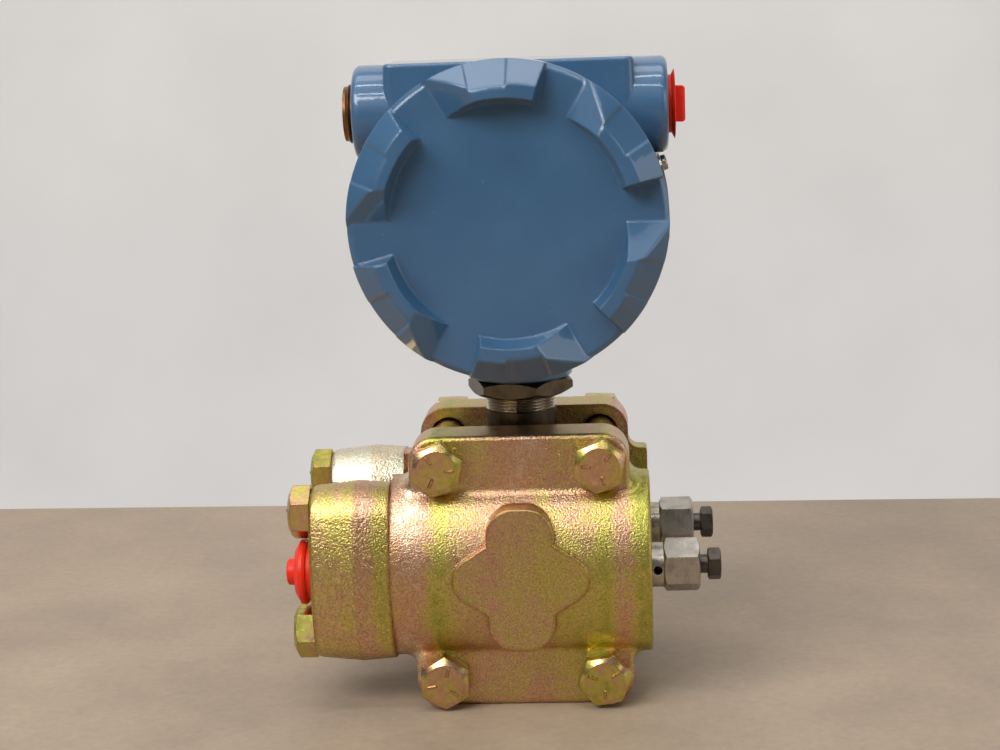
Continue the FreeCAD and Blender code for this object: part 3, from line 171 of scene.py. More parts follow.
def polyurethane_paint():
    """Sprayed two-part polyurethane on die-cast aluminium.

    A wet gloss coat with slight orange peel, a little dust in it and a paler film where
    it is thin.
    """
    material, tree = new_material("sprayed_polyurethane_paint")
    where = add(tree, "ShaderNodeTexCoord").outputs["Object"]
    cloud = add(tree, "ShaderNodeTexNoise", {"Vector": where, "Scale": per_mm(34), "Detail": 4.0,
                                             "Roughness": 0.55})
    speck = add(tree, "ShaderNodeTexNoise", {"Vector": where, "Scale": per_mm(1.3),
                                             "Detail": 2.0})
    paint = tuple(colours().paint)
    pale = tuple(min(1.0, c * 1.10 + 0.004) for c in paint[:3]) + (1.0,)
    deep = tuple(c * 0.92 for c in paint[:3]) + (1.0,)
    tone = add(tree, "ShaderNodeValToRGB", {"Fac": cloud.outputs["Fac"]})
    set_ramp(tone, [(0.32, deep), (0.52, paint), (0.72, pale)])
    dust = add(tree, "ShaderNodeMapRange", {"Value": speck.outputs["Fac"], "From Min": 0.72,
                                            "From Max": 0.80, "To Min": 0.0, "To Max": 0.3})
    base = add(tree, "ShaderNodeMix", {"Factor": dust.outputs["Result"],
                                       "A": tone.outputs["Color"], "B": linear("#8397A8")},
               data_type="RGBA")
    # orange peel of sprayed paint is 2 to 3 mm across
    peel = add(tree, "ShaderNodeTexNoise", {"Vector": where, "Scale": per_mm(2.8), "Detail": 1.5,
                                            "Roughness": 0.4})
    bump = add(tree, "ShaderNodeBump", {"Height": peel.outputs["Fac"], "Strength": 0.12,
                                        "Distance": 0.25 * MM,
                                        "Normal": soft_edges(tree, sizes().casting_edge)})
    rough = add(tree, "ShaderNodeMapRange", {"Value": cloud.outputs["Fac"], "From Min": 0.3,
                                             "From Max": 0.7, "To Min": 0.34, "To Max": 0.44})
    shader = add(tree, "ShaderNodeBsdfPrincipled", {
        "Base Color": base.outputs["Result"], "Roughness": rough.outputs["Result"],
        "IOR": 1.5, "Coat Weight": 1.0, "Coat Roughness": 0.04, "Normal": bump.outputs["Normal"],
        "Coat Normal": bump.outputs["Normal"]})
    add(tree, "ShaderNodeOutputMaterial", {"Surface": shader.outputs["BSDF"]})
    return material


# colour of a chromate film from thin to thick: silver, straw, rose, gold, green and olive
FILM_COLOURS = [(0.00, "#DFE3D2"), (0.10, "#ECE0C2"), (0.22, "#E0BC9C"), (0.34, "#D5A686"),
                (0.46, "#D3B47C"), (0.60, "#CEBD68"), (0.74, "#BCB85A"), (0.88, "#A8A34E"),
                (1.00, "#8C8040")]
# darker red-brown laid on edges and concave corners: partly thicker film, partly painted shade in
# creases and on shaded sides
EDGE_FILM_AND_SHADE_COLOUR = "#9A552A"
EDGE_REACH = 2.6             # how far the edge tint runs, in edge radii: thicker film on edges and painted shade in creases
EDGE_TINT = 0.62             # share of the edge colour on a sharp edge
# film thickness along a flange, where it drained in bands: place in mm, then share
FLANGE_BANDS = [(-43, 0.40), (-38, 0.24), (-32, 0.30), (-29, 0.62), (-26, 0.74), (-23, 0.46),
                (-16, 0.50), (-8, 0.42), (2, 0.34), (10, 0.44), (18, 0.56), (24, 0.48),
                (28, 0.72), (31, 0.44), (34, 0.20), (37, 0.50), (40, 0.80), (43, 0.60)]
ADAPTER_BANDS = [(-70, 0.60), (-66, 0.44), (-63, 0.54), (-60, 0.42), (-56, 0.60), (-53, 0.28),
                 (-49, 0.38), (-46, 0.64), (-42, 0.48)]
PALE_BANDS = [(-70, 0.10), (-60, 0.02), (-52, 0.14), (-42, 0.04)]
BOLT_BANDS = [(-80, 0.66), (-35, 0.42), (0, 0.55), (35, 0.58)]
BAND_WANDER = 9.0            # mm that a band strays along X
TOOL_LINE_DEPTH = 0.02       # mm, of the lines that a lathe or mill leaves


def banded_film(tree, where, bands, cloud, spread):
    """Film thickness that follows bands along X and wanders with a cloud."""
    low, high = bands[0][0], bands[-1][0]
    along = add(tree, "ShaderNodeSeparateXYZ", {"Vector": where}).outputs["X"]
    bent = add(tree, "ShaderNodeMath", {0: cloud, 1: BAND_WANDER * MM, 2: along},
               operation="MULTIPLY_ADD")
    offset = FRAME_SHIFT + BAND_WANDER / 2 * MM
    place = add(tree, "ShaderNodeMapRange", {
        "Value": bent.outputs["Value"], "From Min": low * MM + offset,
        "From Max": high * MM + offset, "To Min": 0.0, "To Max": 1.0})
    ramp = add(tree, "ShaderNodeValToRGB", {"Fac": place.outputs["Result"]})
    set_ramp(ramp, [((x - low) / (high - low), (t, t, t, 1.0)) for x, t in bands])
    ramp.color_ramp.interpolation = "B_SPLINE"
    centred = add(tree, "ShaderNodeMath", {0: cloud, 1: 0.5}, operation="SUBTRACT")
    return add(tree, "ShaderNodeMath", {0: centred.outputs["Value"], 1: spread,
                                        2: ramp.outputs["Color"]},
               operation="MULTIPLY_ADD").outputs["Value"]


def edge_share(tree, rounded):
    """Share from 0 on a flat to 1 on an edge, from how far the rounded normal leans."""
    true_normal = add(tree, "ShaderNodeNewGeometry").outputs["Normal"]
    lean = add(tree, "ShaderNodeVectorMath", {0: rounded, 1: true_normal},
               operation="DOT_PRODUCT").outputs["Value"]
    return add(tree, "ShaderNodeMapRange", {"Value": lean, "From Min": 0.995, "From Max": 0.86,
                                            "To Min": 0.0, "To Max": 1.0}).outputs["Result"]


def yellow_chromate(name, grain_mm, grain_depth, rough, bands, edge, spread, contrast,
                    cloud_mm=26):
    """Zinc plate with a yellow chromate conversion film.

    The film is thin enough to show interference colours, so straw, pink and green run
    into each other in soft bands.  Edges and concave corners are a darker red-brown:
    partly thicker film on the edges, partly painted shade in the creases and on shaded
    sides.  The grain is that of the metal below it.
    """
    material, tree = new_material(name)
    where = add(tree, "ShaderNodeTexCoord").outputs["Object"]
    stretch = add(tree, "ShaderNodeMapping", {"Vector": where, "Scale": (1.0, 0.7, 0.5)})
    drift = add(tree, "ShaderNodeTexNoise", {"Vector": stretch.outputs["Vector"],
                                             "Scale": per_mm(cloud_mm), "Detail": 4.0,
                                             "Roughness": 0.6})
    blotch = add(tree, "ShaderNodeTexNoise", {"Vector": where, "Scale": per_mm(4), "Detail": 4.0,
                                              "Roughness": 0.7})
    cloud = add(tree, "ShaderNodeMix", {"Factor": 0.4, "A": drift.outputs["Fac"],
                                        "B": blotch.outputs["Fac"]}).outputs["Result"]
    film = banded_film(tree, where, bands, cloud, spread)
    tone = add(tree, "ShaderNodeValToRGB", {"Fac": film})
    set_ramp(tone, [(p, linear(h)) for p, h in FILM_COLOURS])
    rounded = soft_edges(tree, edge)
    # painted shade mixed with thicker film: a darker red-brown on every edge and in every concave
    # corner
    edge_film_and_shade = add(tree, "ShaderNodeMath", {0: edge_share(tree, soft_edges(tree, EDGE_REACH * edge)),
                                            1: EDGE_TINT}, operation="MULTIPLY")
    edged = add(tree, "ShaderNodeMix", {"Factor": edge_film_and_shade.outputs["Value"],
                                        "A": tone.outputs["Color"], "B": linear(EDGE_FILM_AND_SHADE_COLOUR)},
                data_type="RGBA")
    fine = add(tree, "ShaderNodeTexNoise", {"Vector": where, "Scale": per_mm(grain_mm),
                                            "Detail": 2.0, "Roughness": 0.6})
    shade = add(tree, "ShaderNodeMapRange", {"Value": fine.outputs["Fac"], "From Min": 0.3,
                                             "From Max": 0.7, "To Min": 1.0 - contrast,
                                             "To Max": 1.0 + contrast * 0.7})
    base = add(tree, "ShaderNodeMix", {"Factor": 1.0, "A": edged.outputs["Result"],
                                       "B": shade.outputs["Result"]},
               data_type="RGBA", blend_type="MULTIPLY")
    bump = add(tree, "ShaderNodeBump", {"Height": fine.outputs["Fac"], "Strength": 1.0,
                                        "Distance": grain_depth * MM, "Normal": rounded})
    matt = add(tree, "ShaderNodeMapRange", {"Value": blotch.outputs["Fac"], "From Min": 0.3,
                                            "From Max": 0.7, "To Min": rough - 0.06,
                                            "To Max": rough + 0.07})
    shader = add(tree, "ShaderNodeBsdfPrincipled", {
        "Base Color": base.outputs["Result"], "Metallic": 1.0,
        "Roughness": matt.outputs["Result"], "Normal": bump.outputs["Normal"]})
    add(tree, "ShaderNodeOutputMaterial", {"Surface": shader.outputs["BSDF"]})
    return material


def turned_steel(name, colour, rough, line_mm, edge, axis="X"):
    """Lathe-turned or milled metal: fine tool lines around an axis, and a few stains."""
    material, tree = new_material(name)
    where = add(tree, "ShaderNodeTexCoord").outputs["Object"]
    along = tuple(1.0 if letter == axis else 0.08 for letter in "XYZ")
    stretch = add(tree, "ShaderNodeMapping", {"Vector": where, "Scale": along})
    lines = add(tree, "ShaderNodeTexNoise", {"Vector": stretch.outputs["Vector"],
                                             "Scale": per_mm(line_mm), "Detail": 3.0})
    stain = add(tree, "ShaderNodeTexNoise", {"Vector": where, "Scale": per_mm(5.0),
                                             "Detail": 5.0, "Roughness": 0.65})
    base_colour = linear(colour)
    dark = tuple(c * 0.62 for c in base_colour[:3]) + (1.0,)
    tone = add(tree, "ShaderNodeValToRGB", {"Fac": stain.outputs["Fac"]})
    set_ramp(tone, [(0.33, dark), (0.55, base_colour)])
    bump = add(tree, "ShaderNodeBump", {"Height": lines.outputs["Fac"], "Strength": 0.18,
                                        "Distance": TOOL_LINE_DEPTH * MM,
                                        "Normal": soft_edges(tree, edge)})
    matt = add(tree, "ShaderNodeMapRange", {"Value": lines.outputs["Fac"], "From Min": 0.3,
                                            "From Max": 0.7, "To Min": rough - 0.04,
                                            "To Max": rough + 0.04})
    shader = add(tree, "ShaderNodeBsdfPrincipled", {
        "Base Color": tone.outputs["Color"], "Metallic": 1.0,
        "Roughness": matt.outputs["Result"], "Normal": bump.outputs["Normal"]})
    add(tree, "ShaderNodeOutputMaterial", {"Surface": shader.outputs["BSDF"]})
    return material


def moulded_polyethylene():
    """Injection-moulded polyethylene: waxy, faintly translucent, with scuffs."""
    material, tree = new_material("moulded_polyethylene")
    where = add(tree, "ShaderNodeTexCoord").outputs["Object"]
    scuff = add(tree, "ShaderNodeTexNoise", {"Vector": where, "Scale": per_mm(3.0),
                                             "Detail": 6.0, "Roughness": 0.7})
    base = tuple(colours().plug)
    tone = add(tree, "ShaderNodeValToRGB", {"Fac": scuff.outputs["Fac"]})
    worn = tuple(min(1.0, c * 0.9 + 0.03) for c in base[:3]) + (1.0,)
    set_ramp(tone, [(0.4, base), (0.75, worn)])
    bump = add(tree, "ShaderNodeBump", {"Height": scuff.outputs["Fac"], "Strength": 0.12,
                                        "Distance": 0.1 * MM,
                                        "Normal": soft_edges(tree, 0.5 * MM)})
    shader = add(tree, "ShaderNodeBsdfPrincipled", {
        "Base Color": tone.outputs["Color"], "Roughness": 0.42, "IOR": 1.51,
        "Specular IOR Level": 0.3,
        "Subsurface Weight": 0.12, "Subsurface Scale": 0.002,
        "Subsurface Radius": (1.0, 0.25, 0.12), "Normal": bump.outputs["Normal"]})
    add(tree, "ShaderNodeOutputMaterial", {"Surface": shader.outputs["BSDF"]})
    return material


def moulded_solid(name, colour, rough, grain_mm):
    """Moulded rubber, phenolic or laminate: one body colour with a fine moulded grain."""
    material, tree = new_material(name)
    where = add(tree, "ShaderNodeTexCoord").outputs["Object"]
    grain = add(tree, "ShaderNodeTexNoise", {"Vector": where, "Scale": per_mm(grain_mm),
                                             "Detail": 4.0})
    base = linear(colour)
    tone = add(tree, "ShaderNodeValToRGB", {"Fac": grain.outputs["Fac"]})
    set_ramp(tone, [(0.35, tuple(c * 0.85 for c in base[:3]) + (1.0,)),
                    (0.65, tuple(min(1.0, c * 1.15) for c in base[:3]) + (1.0,))])
    bump = add(tree, "ShaderNodeBump", {"Height": grain.outputs["Fac"], "Strength": 0.15,
                                        "Distance": 0.05 * MM})
    shader = add(tree, "ShaderNodeBsdfPrincipled", {
        "Base Color": tone.outputs["Color"], "Roughness": rough, "IOR": 1.5,
        "Normal": bump.outputs["Normal"]})
    add(tree, "ShaderNodeOutputMaterial", {"Surface": shader.outputs["BSDF"]})
    return material


def make_finishes():
    """All the finishes, by the name of the material slot they belong to."""
    edge = sizes().machined_edge
    casting = sizes().casting_edge
    return {
        "blue_paint": polyurethane_paint(),
        # sand casting, plated and dipped: grain of a little under a millimetre
        "chromate_casting": yellow_chromate("chromated_zinc_on_sand_cast_steel", 0.6, 0.21,
                                            0.32, FLANGE_BANDS, casting, spread=1.5,
                                            contrast=0.34),
        # coarser shell-mould grain on the adapters
        "chromate_pale": yellow_chromate("chromated_zinc_on_shell_cast_steel", 0.7, 0.29, 0.31,
                                         ADAPTER_BANDS, casting, spread=1.2,
                                         contrast=0.36),
        # the same casting from a bath that left the film thin
        "chromate_thin": yellow_chromate("thin_chromate_on_shell_cast_steel", 0.7, 0.27, 0.30,
                                         PALE_BANDS, casting, spread=0.4, contrast=0.34),
        # cold-headed bolts: smooth with a few forging marks
        "chromate_bolt": yellow_chromate("chromated_zinc_on_cold_headed_steel", 2.2, 0.04, 0.24,
                                         BOLT_BANDS, edge, spread=2.4, contrast=0.12,
                                         cloud_mm=11),
        "stainless_steel": turned_steel("milled_stainless_steel", "#B9B2A8", 0.30, 0.5, edge),
        "neck_steel": turned_steel("turned_stainless_steel", "#4E453C", 0.36, 0.5, edge, "Z"),
        "thread_steel": turned_steel("cut_thread_in_stainless_steel", "#C9C0B4", 0.22, 0.5,
                                     0.05 * MM, "Z"),
        "dark_steel": turned_steel("oiled_plated_steel", "#6B6150", 0.32, 0.6, edge),
        "nameplate_steel": turned_steel("brushed_stainless_sheet", "#C4C2BE", 0.36, 0.2, edge),
        "vent_screw_steel": turned_steel("blackened_steel", "#5E5751", 0.36, 0.5, edge),
        "brown_steel": turned_steel("lacquered_malleable_iron", "#8A6242", 0.38, 1.0, edge),
        "brass_screws": turned_steel("turned_brass", "#C9A765", 0.26, 0.4, edge),
        "glass_header": turned_steel("gold_plated_header", "#BFA877", 0.30, 0.6, edge),
        "red_plastic": moulded_polyethylene(),
        "seal_rubber": moulded_solid("moulded_nitrile_rubber", "#1B1B1B", 0.6, 0.6),
        "board_laminate": moulded_solid("glass_epoxy_laminate", "#1E5A36", 0.35, 1.2),
        "moulded_block": moulded_solid("moulded_phenolic", "#202022", 0.45, 0.5),
    }


FINISHES = {}


def finish(slot):
    if not FINISHES:
        FINISHES.update(make_finishes())
    return FINISHES[slot]


# ---- Mesh helpers ---------------------------------------------------------------------
def mesh_object(name, vertices, faces, slot, body, smooth_angle=35.0, look=None):
    """A new piece from vertices in metres, with its finish, riding on a body."""
    mesh = bpy.data.meshes.new(name)
    mesh.from_pydata(vertices, [], faces)
    mesh.validate()
    work = bmesh.new()
    work.from_mesh(mesh)
    bmesh.ops.recalc_face_normals(work, faces=work.faces)
    work.to_mesh(mesh)
    work.free()
    mesh.shade_smooth()
    mesh.set_sharp_from_angle(angle=math.radians(smooth_angle))
    piece = bpy.data.objects.new(name, mesh)
    bpy.context.scene.collection.objects.link(piece)
    mesh.materials.append(finish(look or slot))
    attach(piece, body)
    return piece


def grid_faces(rows, columns, wrap):
    """Quads of a grid stored row by row, its columns closed into a ring if wrap."""
    faces = []
    last = columns if wrap else columns - 1
    for row in range(rows - 1):
        for column in range(last):
            after = (column + 1) % columns
            faces.append((row * columns + column, row * columns + after,
                          (row + 1) * columns + after, (row + 1) * columns + column))
    return faces


def soft_min(a, b, softness):
    """Smaller of two heights with a rounded corner where they cross."""
    blend = max(softness - abs(a - b), 0.0) / softness
    return min(a, b) - blend * blend * softness / 4


def soft_max(a, b, softness):
    return -soft_min(-a, -b, softness)


# ---- Covers ---------------------------------------------------------------------------
LUG_COUNT = 6
LUG_SPAN = 45.5              # degrees from a lug's tip to its square end
LUG_WALL_FOOT = 37.3
LUG_WALL_TOP = 39.0
LUG_CREST = 43.4
COVER_RIM = 50.8
RIM_CHAMFER = 1.5
REAR_INSET = 2.8             # the rear cover's radii are this much smaller
RAMP_SLOPE = 0.794
RAMP_START = 0.87
NOTCH = (16.0, 31.6, 1.0)    # degrees from the tip, and depth
NOTCH_BLUR = 0.9             # degrees over which the notch's sides fade
SQUARE_END_SLOPE = 9.0       # rise over run of a lug's driving face
NEXT_RAMP = 6.0              # degrees past a lug's square end where the next ramp counts
RIM_LUG_HEIGHT = 1.0         # what is left of a lug where it meets the rim
FACE_SOFTNESS = 0.6
RAMP_SOFTNESS = 0.8          # share of the softness of a lug's other edges
FOOT_SOFTNESS = 0.9          # the same, where a lug meets the face
FULL_INSET_R = 34.0          # from here in to the axis the rear cover's inset fades
RIM_FOOT = 1.8               # below the face, where the rim's side starts
SKIRT_DRAFT = (0.2, 0.55)    # how far in the skirt is, at this share of its length
SKIRT_END_R = 50.1
SKIRT_END_RISE = 0.5
SKIRT_BORE = 44.75           # clears the housing's thread ring
BORE_CHAMFER = 0.3
CUP_CHAMFER = 0.4            # outside the skirt's end and in the cup's corner
FACE_THICKNESS = 4.8
# radii where rings of the cover's mesh start and end, and the step between rings
COVER_RINGS = ((0.001, 32.0, 8.0), (32.0, 36.8, 1.6), (36.8, 39.6, 0.18), (39.6, 42.8, 0.8),
               (42.8, 44.2, 0.2), (44.2, 48.8, 0.42), (48.8, COVER_RIM, 0.15))


def lug_height(radius, turn, softness):
    """Height of the lugs over the cover's face at a radius and clockwise angle."""
    angle = turn % (360.0 / LUG_COUNT)
    inner = (radius - LUG_WALL_FOOT) * LUG_TOP / (LUG_WALL_TOP - LUG_WALL_FOOT)
    fall = (LUG_TOP - RIM_LUG_HEIGHT) / (COVER_RIM - LUG_CREST)
    start, end, depth = NOTCH
    into = min(max((angle - start) / NOTCH_BLUR + 0.5, 0.0), 1.0)
    out_of = min(max((end - angle) / NOTCH_BLUR + 0.5, 0.0), 1.0)
    outer = LUG_TOP - (radius + depth * into * out_of - LUG_CREST) * fall
    if angle > LUG_SPAN + NEXT_RAMP:
        ramp = (angle - 360.0 / LUG_COUNT) * radius * math.pi / 180 * RAMP_SLOPE
    else:
        ramp = RAMP_SLOPE * (radius * math.sin(math.radians(angle)) - RAMP_START)
    square_end = (LUG_SPAN - angle) * radius * math.pi / 180 * SQUARE_END_SLOPE
    height = soft_min(inner, LUG_TOP, softness)
    height = soft_min(height, outer, softness)
    height = soft_min(height, ramp, softness * RAMP_SOFTNESS)
    return soft_min(height, square_end, softness)


def cover_outside(radius, turn, softness):
    """Height of the cover's outside: its face with a chamfered rim, and the lugs."""
    face = soft_min(0.0, COVER_RIM - RIM_CHAMFER - radius, FACE_SOFTNESS)
    return soft_max(face, lug_height(radius, turn, softness), softness * FOOT_SOFTNESS)


def spaced(ranges):
    """Values from each range's start, in its own step, up to the last range's end."""
    values = []
    for start, end, step in ranges:
        count = max(1, round((end - start) / step))
        values += [start + k * (end - start) / count for k in range(count)]
    return values + [ranges[-1][1]]


def cover_piece(name, node, body, facing, inset):
    """Screw cover with cast lugs; facing is -1 for the front cover and 1 for the rear."""
    segments = sizes().cover_segments
    softness = sizes().lug_edge / MM
    skirt = (COVER_FACE_Y - COVER_SKIRT_Y) / MM
    # down the outside of the skirt, round its end, up the bore and across the inside
    draft, share = SKIRT_DRAFT
    tail = [(COVER_RIM, -RIM_FOOT), (COVER_RIM - draft, -skirt * share),
            (SKIRT_END_R, -skirt + SKIRT_END_RISE), (SKIRT_END_R - CUP_CHAMFER, -skirt),
            (SKIRT_BORE + BORE_CHAMFER, -skirt), (SKIRT_BORE, -skirt + BORE_CHAMFER),
            (SKIRT_BORE, -FACE_THICKNESS - CUP_CHAMFER),
            (SKIRT_BORE - CUP_CHAMFER, -FACE_THICKNESS), (0.001, -FACE_THICKNESS)]
    rings = [(radius, None) for radius in spaced(COVER_RINGS)] + tail
    placed = []
    for radius, fixed in rings:
        shown = radius - inset * min(1.0, radius / FULL_INSET_R)
        for k in range(segments):
            turn = 360.0 * k / segments
            height = cover_outside(radius, turn, softness) if fixed is None else fixed
            angle = math.radians(turn)
            across = shown * math.cos(angle) * MM
            placed.append((HOUSING_CENTRE.x - facing * across,
                           facing * (COVER_FACE_Y + height * MM),
                           HOUSING_CENTRE.z - shown * math.sin(angle) * MM))
    piece = mesh_object(name, placed, grid_faces(len(rings), segments, True), "blue_paint", body,
                        smooth_angle=40.0)
    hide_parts(node)


class TRANSMITTER_OT_covers(bpy.types.Operator):
    """Make both screw covers with softened cast lugs."""
    bl_idname = "transmitter.covers"
    bl_label = "Screw covers"

    def execute(self, context):
        cover_piece("front_cover_casting", "front_cover", "front_lid", -1, 0.0)
        cover_piece("rear_cover_casting", "rear_cover", "rear_lid", 1, REAR_INSET)
        return {"FINISHED"}


# ---- Bolts ----------------------------------------------------------------------------
# per plate bolt: X and Z in mm, and the angles of its grade lines
PLATE_BOLTS = ((-26.6, 82.6, (0, 125, 245)), (26.6, 82.6, (50, 175, 285)),
               (-26.6, 9.8, (75, 190, 317)), (26.6, 9.8, (36, 158, 270)))
# per adapter bolt: Z in mm, and the angles of its grade lines
ADAPTER_BOLTS = ((66.85, (20, 140, 262)), (25.55, (75, 195, 318)))
LINE_START = 2.7             # from the middle of the head
LINE_END = 6.0
LINE_RISE = 0.40
LINE_END_SLOPE = 0.3
LINE_TOP_SHARE = 0.55        # of the line's width, left flat on top


def raised_line(low, high, width, rise):
    """Vertices and faces of a bar along U with sloped sides, standing up in W."""
    half = width / 2
    top = half * LINE_TOP_SHARE
    near = low + LINE_END_SLOPE
    far = high - LINE_END_SLOPE
    outline = [(low, -half, 0), (high, -half, 0), (high, half, 0), (low, half, 0),
               (near, -top, rise), (far, -top, rise), (far, top, rise), (near, top, rise)]
    faces = [(0, 3, 2, 1), (4, 5, 6, 7), (0, 1, 5, 4), (1, 2, 6, 5), (2, 3, 7, 6), (3, 0, 4, 7)]
    return outline, faces


def grade_lines(heads):
    """Vertices and faces of the radial lines on bolt heads.

    Each head is its centre, its two flat directions and outward direction, and the
    angles of its lines.
    """
    vertices = []
    faces = []
    width = sizes().grade_line / MM
    outline, quads = raised_line(LINE_START, LINE_END, width, LINE_RISE)
    for centre, right, up, out, angles in heads:
        for degrees in angles:
            turn = math.radians(degrees)
            along = right * math.cos(turn) + up * math.sin(turn)
            across = up * math.cos(turn) - right * math.sin(turn)
            first = len(vertices)
            for u, v, w in outline:
                vertices.append(centre + (along * u + across * v + out * w) * MM)
            faces += [tuple(first + i for i in quad) for quad in quads]
    return vertices, faces


class TRANSMITTER_OT_bolt_marks(bpy.types.Operator):
    """Raise the grade lines that are forged on the bolt heads."""
    bl_idname = "transmitter.bolt_marks"
    bl_label = "Bolt grade lines"

    def execute(self, context):
        right, back, up = Vector((1, 0, 0)), Vector((0, 1, 0)), Vector((0, 0, 1))
        head_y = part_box("flange_bolts")[0][1]
        head_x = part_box("adapter_bolts")[0][0]
        port_y = middle("front_adapter").y
        heads = [(Vector((FRAME_SHIFT + x * MM, head_y, z * MM)), right, up, -back, angles)
                 for x, z, angles in PLATE_BOLTS]
        heads += [(Vector((head_x, side * port_y, z * MM)), -back, up, -right, angles)
                  for z, angles in ADAPTER_BOLTS for side in (1, -1)]
        vertices, faces = grade_lines(heads)
        mesh_object("bolt_grade_lines", vertices, faces, "chromate_bolt", "base")
        return {"FINISHED"}


# ---- Threads --------------------------------------------------------------------------
# crest radius, depth, pitch and length in mm
NECK_THREAD = (11.85, 0.80, 1.06, 5.2)
TIP_THREAD = (5.68, 0.45, 1.27, 2.9)
NECK_THREAD_FOOT = 95.5      # top of the sleeve
KEYWAY_GAP = 9.0             # degrees that the neck's keyway takes out of the thread
TIP_THREAD_START = 3.2       # from the bolt's tip
ROWS_PER_PITCH = 10
FLANK_SLOPE = 3.0            # thread depths per pitch
CREST_FLAT = 0.25            # thread depths that the flat crest cuts off the flanks
THREAD_SEGMENTS = 96


def helical_thread(crest, depth, pitch, length, gap_degrees, segments):
    """Vertices (radius, angle, along) of a thread's skin, one row per step along it."""
    steps = max(8, int(length / pitch * ROWS_PER_PITCH))
    rows = []
    for row in range(steps + 1):
        along = length * row / steps
        for k in range(segments + 1):
            angle = gap_degrees / 2 + (360.0 - gap_degrees) * k / segments
            phase = (along / pitch - angle / 360.0) % 1.0
            height = min(1.0, max(0.0, abs(phase - 0.5) * FLANK_SLOPE - CREST_FLAT))
            rows.append((crest - depth * height, angle, along))
    return rows, grid_faces(steps + 1, segments + 1, False)


def thread_piece(name, slot, start, along, across, up, sizes_mm, gap_degrees=0.0, look=None):
    """Thread skin on an axis, with a finish of its own where look names one."""
    crest, depth, pitch, length = sizes_mm
    segments = THREAD_SEGMENTS
    rows, faces = helical_thread(crest, depth, pitch, length, gap_degrees, segments)
    vertices = []
    for radius, angle, reach in rows:
        turn = math.radians(angle)
        side = across * math.cos(turn) + up * math.sin(turn)
        vertices.append(start + (side * radius + along * reach) * MM)
    mesh_object(name, vertices, faces, slot, "base", smooth_angle=60.0, look=look)


class TRANSMITTER_OT_threads(bpy.types.Operator):
    """Cut the threads that show on the neck and on the tips of the bolts."""
    bl_idname = "transmitter.threads"
    bl_label = "Threads"

    def execute(self, context):
        right, back, up = Vector((1, 0, 0)), Vector((0, 1, 0)), Vector((0, 0, 1))
        foot = Vector((FRAME_SHIFT, 0.0, NECK_THREAD_FOOT * MM))
        thread_piece("neck_thread", "neck_steel", foot, up, -back, right, NECK_THREAD,
                     KEYWAY_GAP, "thread_steel")
        tip_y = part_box("flange_bolts")[1][1]
        for number, (x, z, _) in enumerate(PLATE_BOLTS):
            start = Vector((FRAME_SHIFT + x * MM, tip_y - TIP_THREAD_START * MM, z * MM))
            thread_piece(f"bolt_tip_thread_{number + 1}", "chromate_bolt", start, back, right,
                         up, TIP_THREAD)
        return {"FINISHED"}


# ---- Castings and machined parts that keep their solids -------------------------------
class TRANSMITTER_OT_finishes(bpy.types.Operator):
    """Give every solid of the frame its finish."""
    bl_idname = "transmitter.finishes"
    bl_label = "Finishes"

    def execute(self, context):
        slots = {part["node"]: part["material_slot"] for part in frame["record"]["subparts"]}
        slots["rear_adapter"] = "chromate_thin"
        slots["front_vent_screw"] = slots["rear_vent_screw"] = "vent_screw_steel"
        for name, solid in frame["nodes"].items():
            solid.data.materials.clear()
            solid.data.materials.append(finish(slots[name]))
        return {"FINISHED"}


# ---- Stage ----------------------------------------------------------------------------
CAMERA_PLACE = Vector((39.55, -677.9, 234.3)) * MM
CAMERA_PITCH = math.radians(10.645)
CAMERA_YAW = math.radians(3.365)
CAMERA_ROLL = math.radians(-2.058)
CAMERA_LENS = 72.66          # on a sensor 36 wide
WALL_Y = 0.75
WALL_REACH = 3.0             # each way from the middle
WALL_LOW = -1.0
WALL_HIGH = 3.0
FLOOR_FRONT_Y = -2.0
# the floor is a bench whose far edge shows: two points on that edge
BENCH_EDGE = ((-1.0, 0.2816), (1.0, 0.198))
# name, place, target, width, height, power in watts, colour
LAMPS = (
    ("ceiling_lamp", (0.0, -0.1, 1.6), (0, 0, 0.1), 1.8, 1.2, 3.0, "#FFFDFA"),
    ("wall_lamp", (0.0, 0.15, 1.5), (0, 0.75, 0.4), 1.6, 0.5, 5.6, "#FFFEFC"),
    ("floor_bounce", (0.0, 0.45, -0.55), (0, 0.75, 0.3), 1.8, 0.3, 3.0, "#FFFEFC"),
    ("front_panel", (-0.7, -0.95, 1.0), (0, 0, 0.1), 1.1, 0.5, 15.0, "#FFFEFC"),
    ("fill_panel", (1.3, -0.9, 0.7), (0, 0, 0.1), 0.6, 0.6, 1.6, "#FFFEFC"),
    ("right_panel", (1.3, -0.3, 0.3), (0, 0, 0.1), 1.0, 0.7, 2.4, "#FFFEFC"),
    ("front_tube", (-0.1, -0.95, 1.3), (0, 0, 0.15), 1.5, 0.04, 3.5, "#FFFFFF"),
    ("rear_tube", (0.0, -0.35, 1.35), (0, 0, 0.15), 1.5, 0.04, 3.5, "#FFFFFF"),
)
ROOM_LIGHT = 0.15


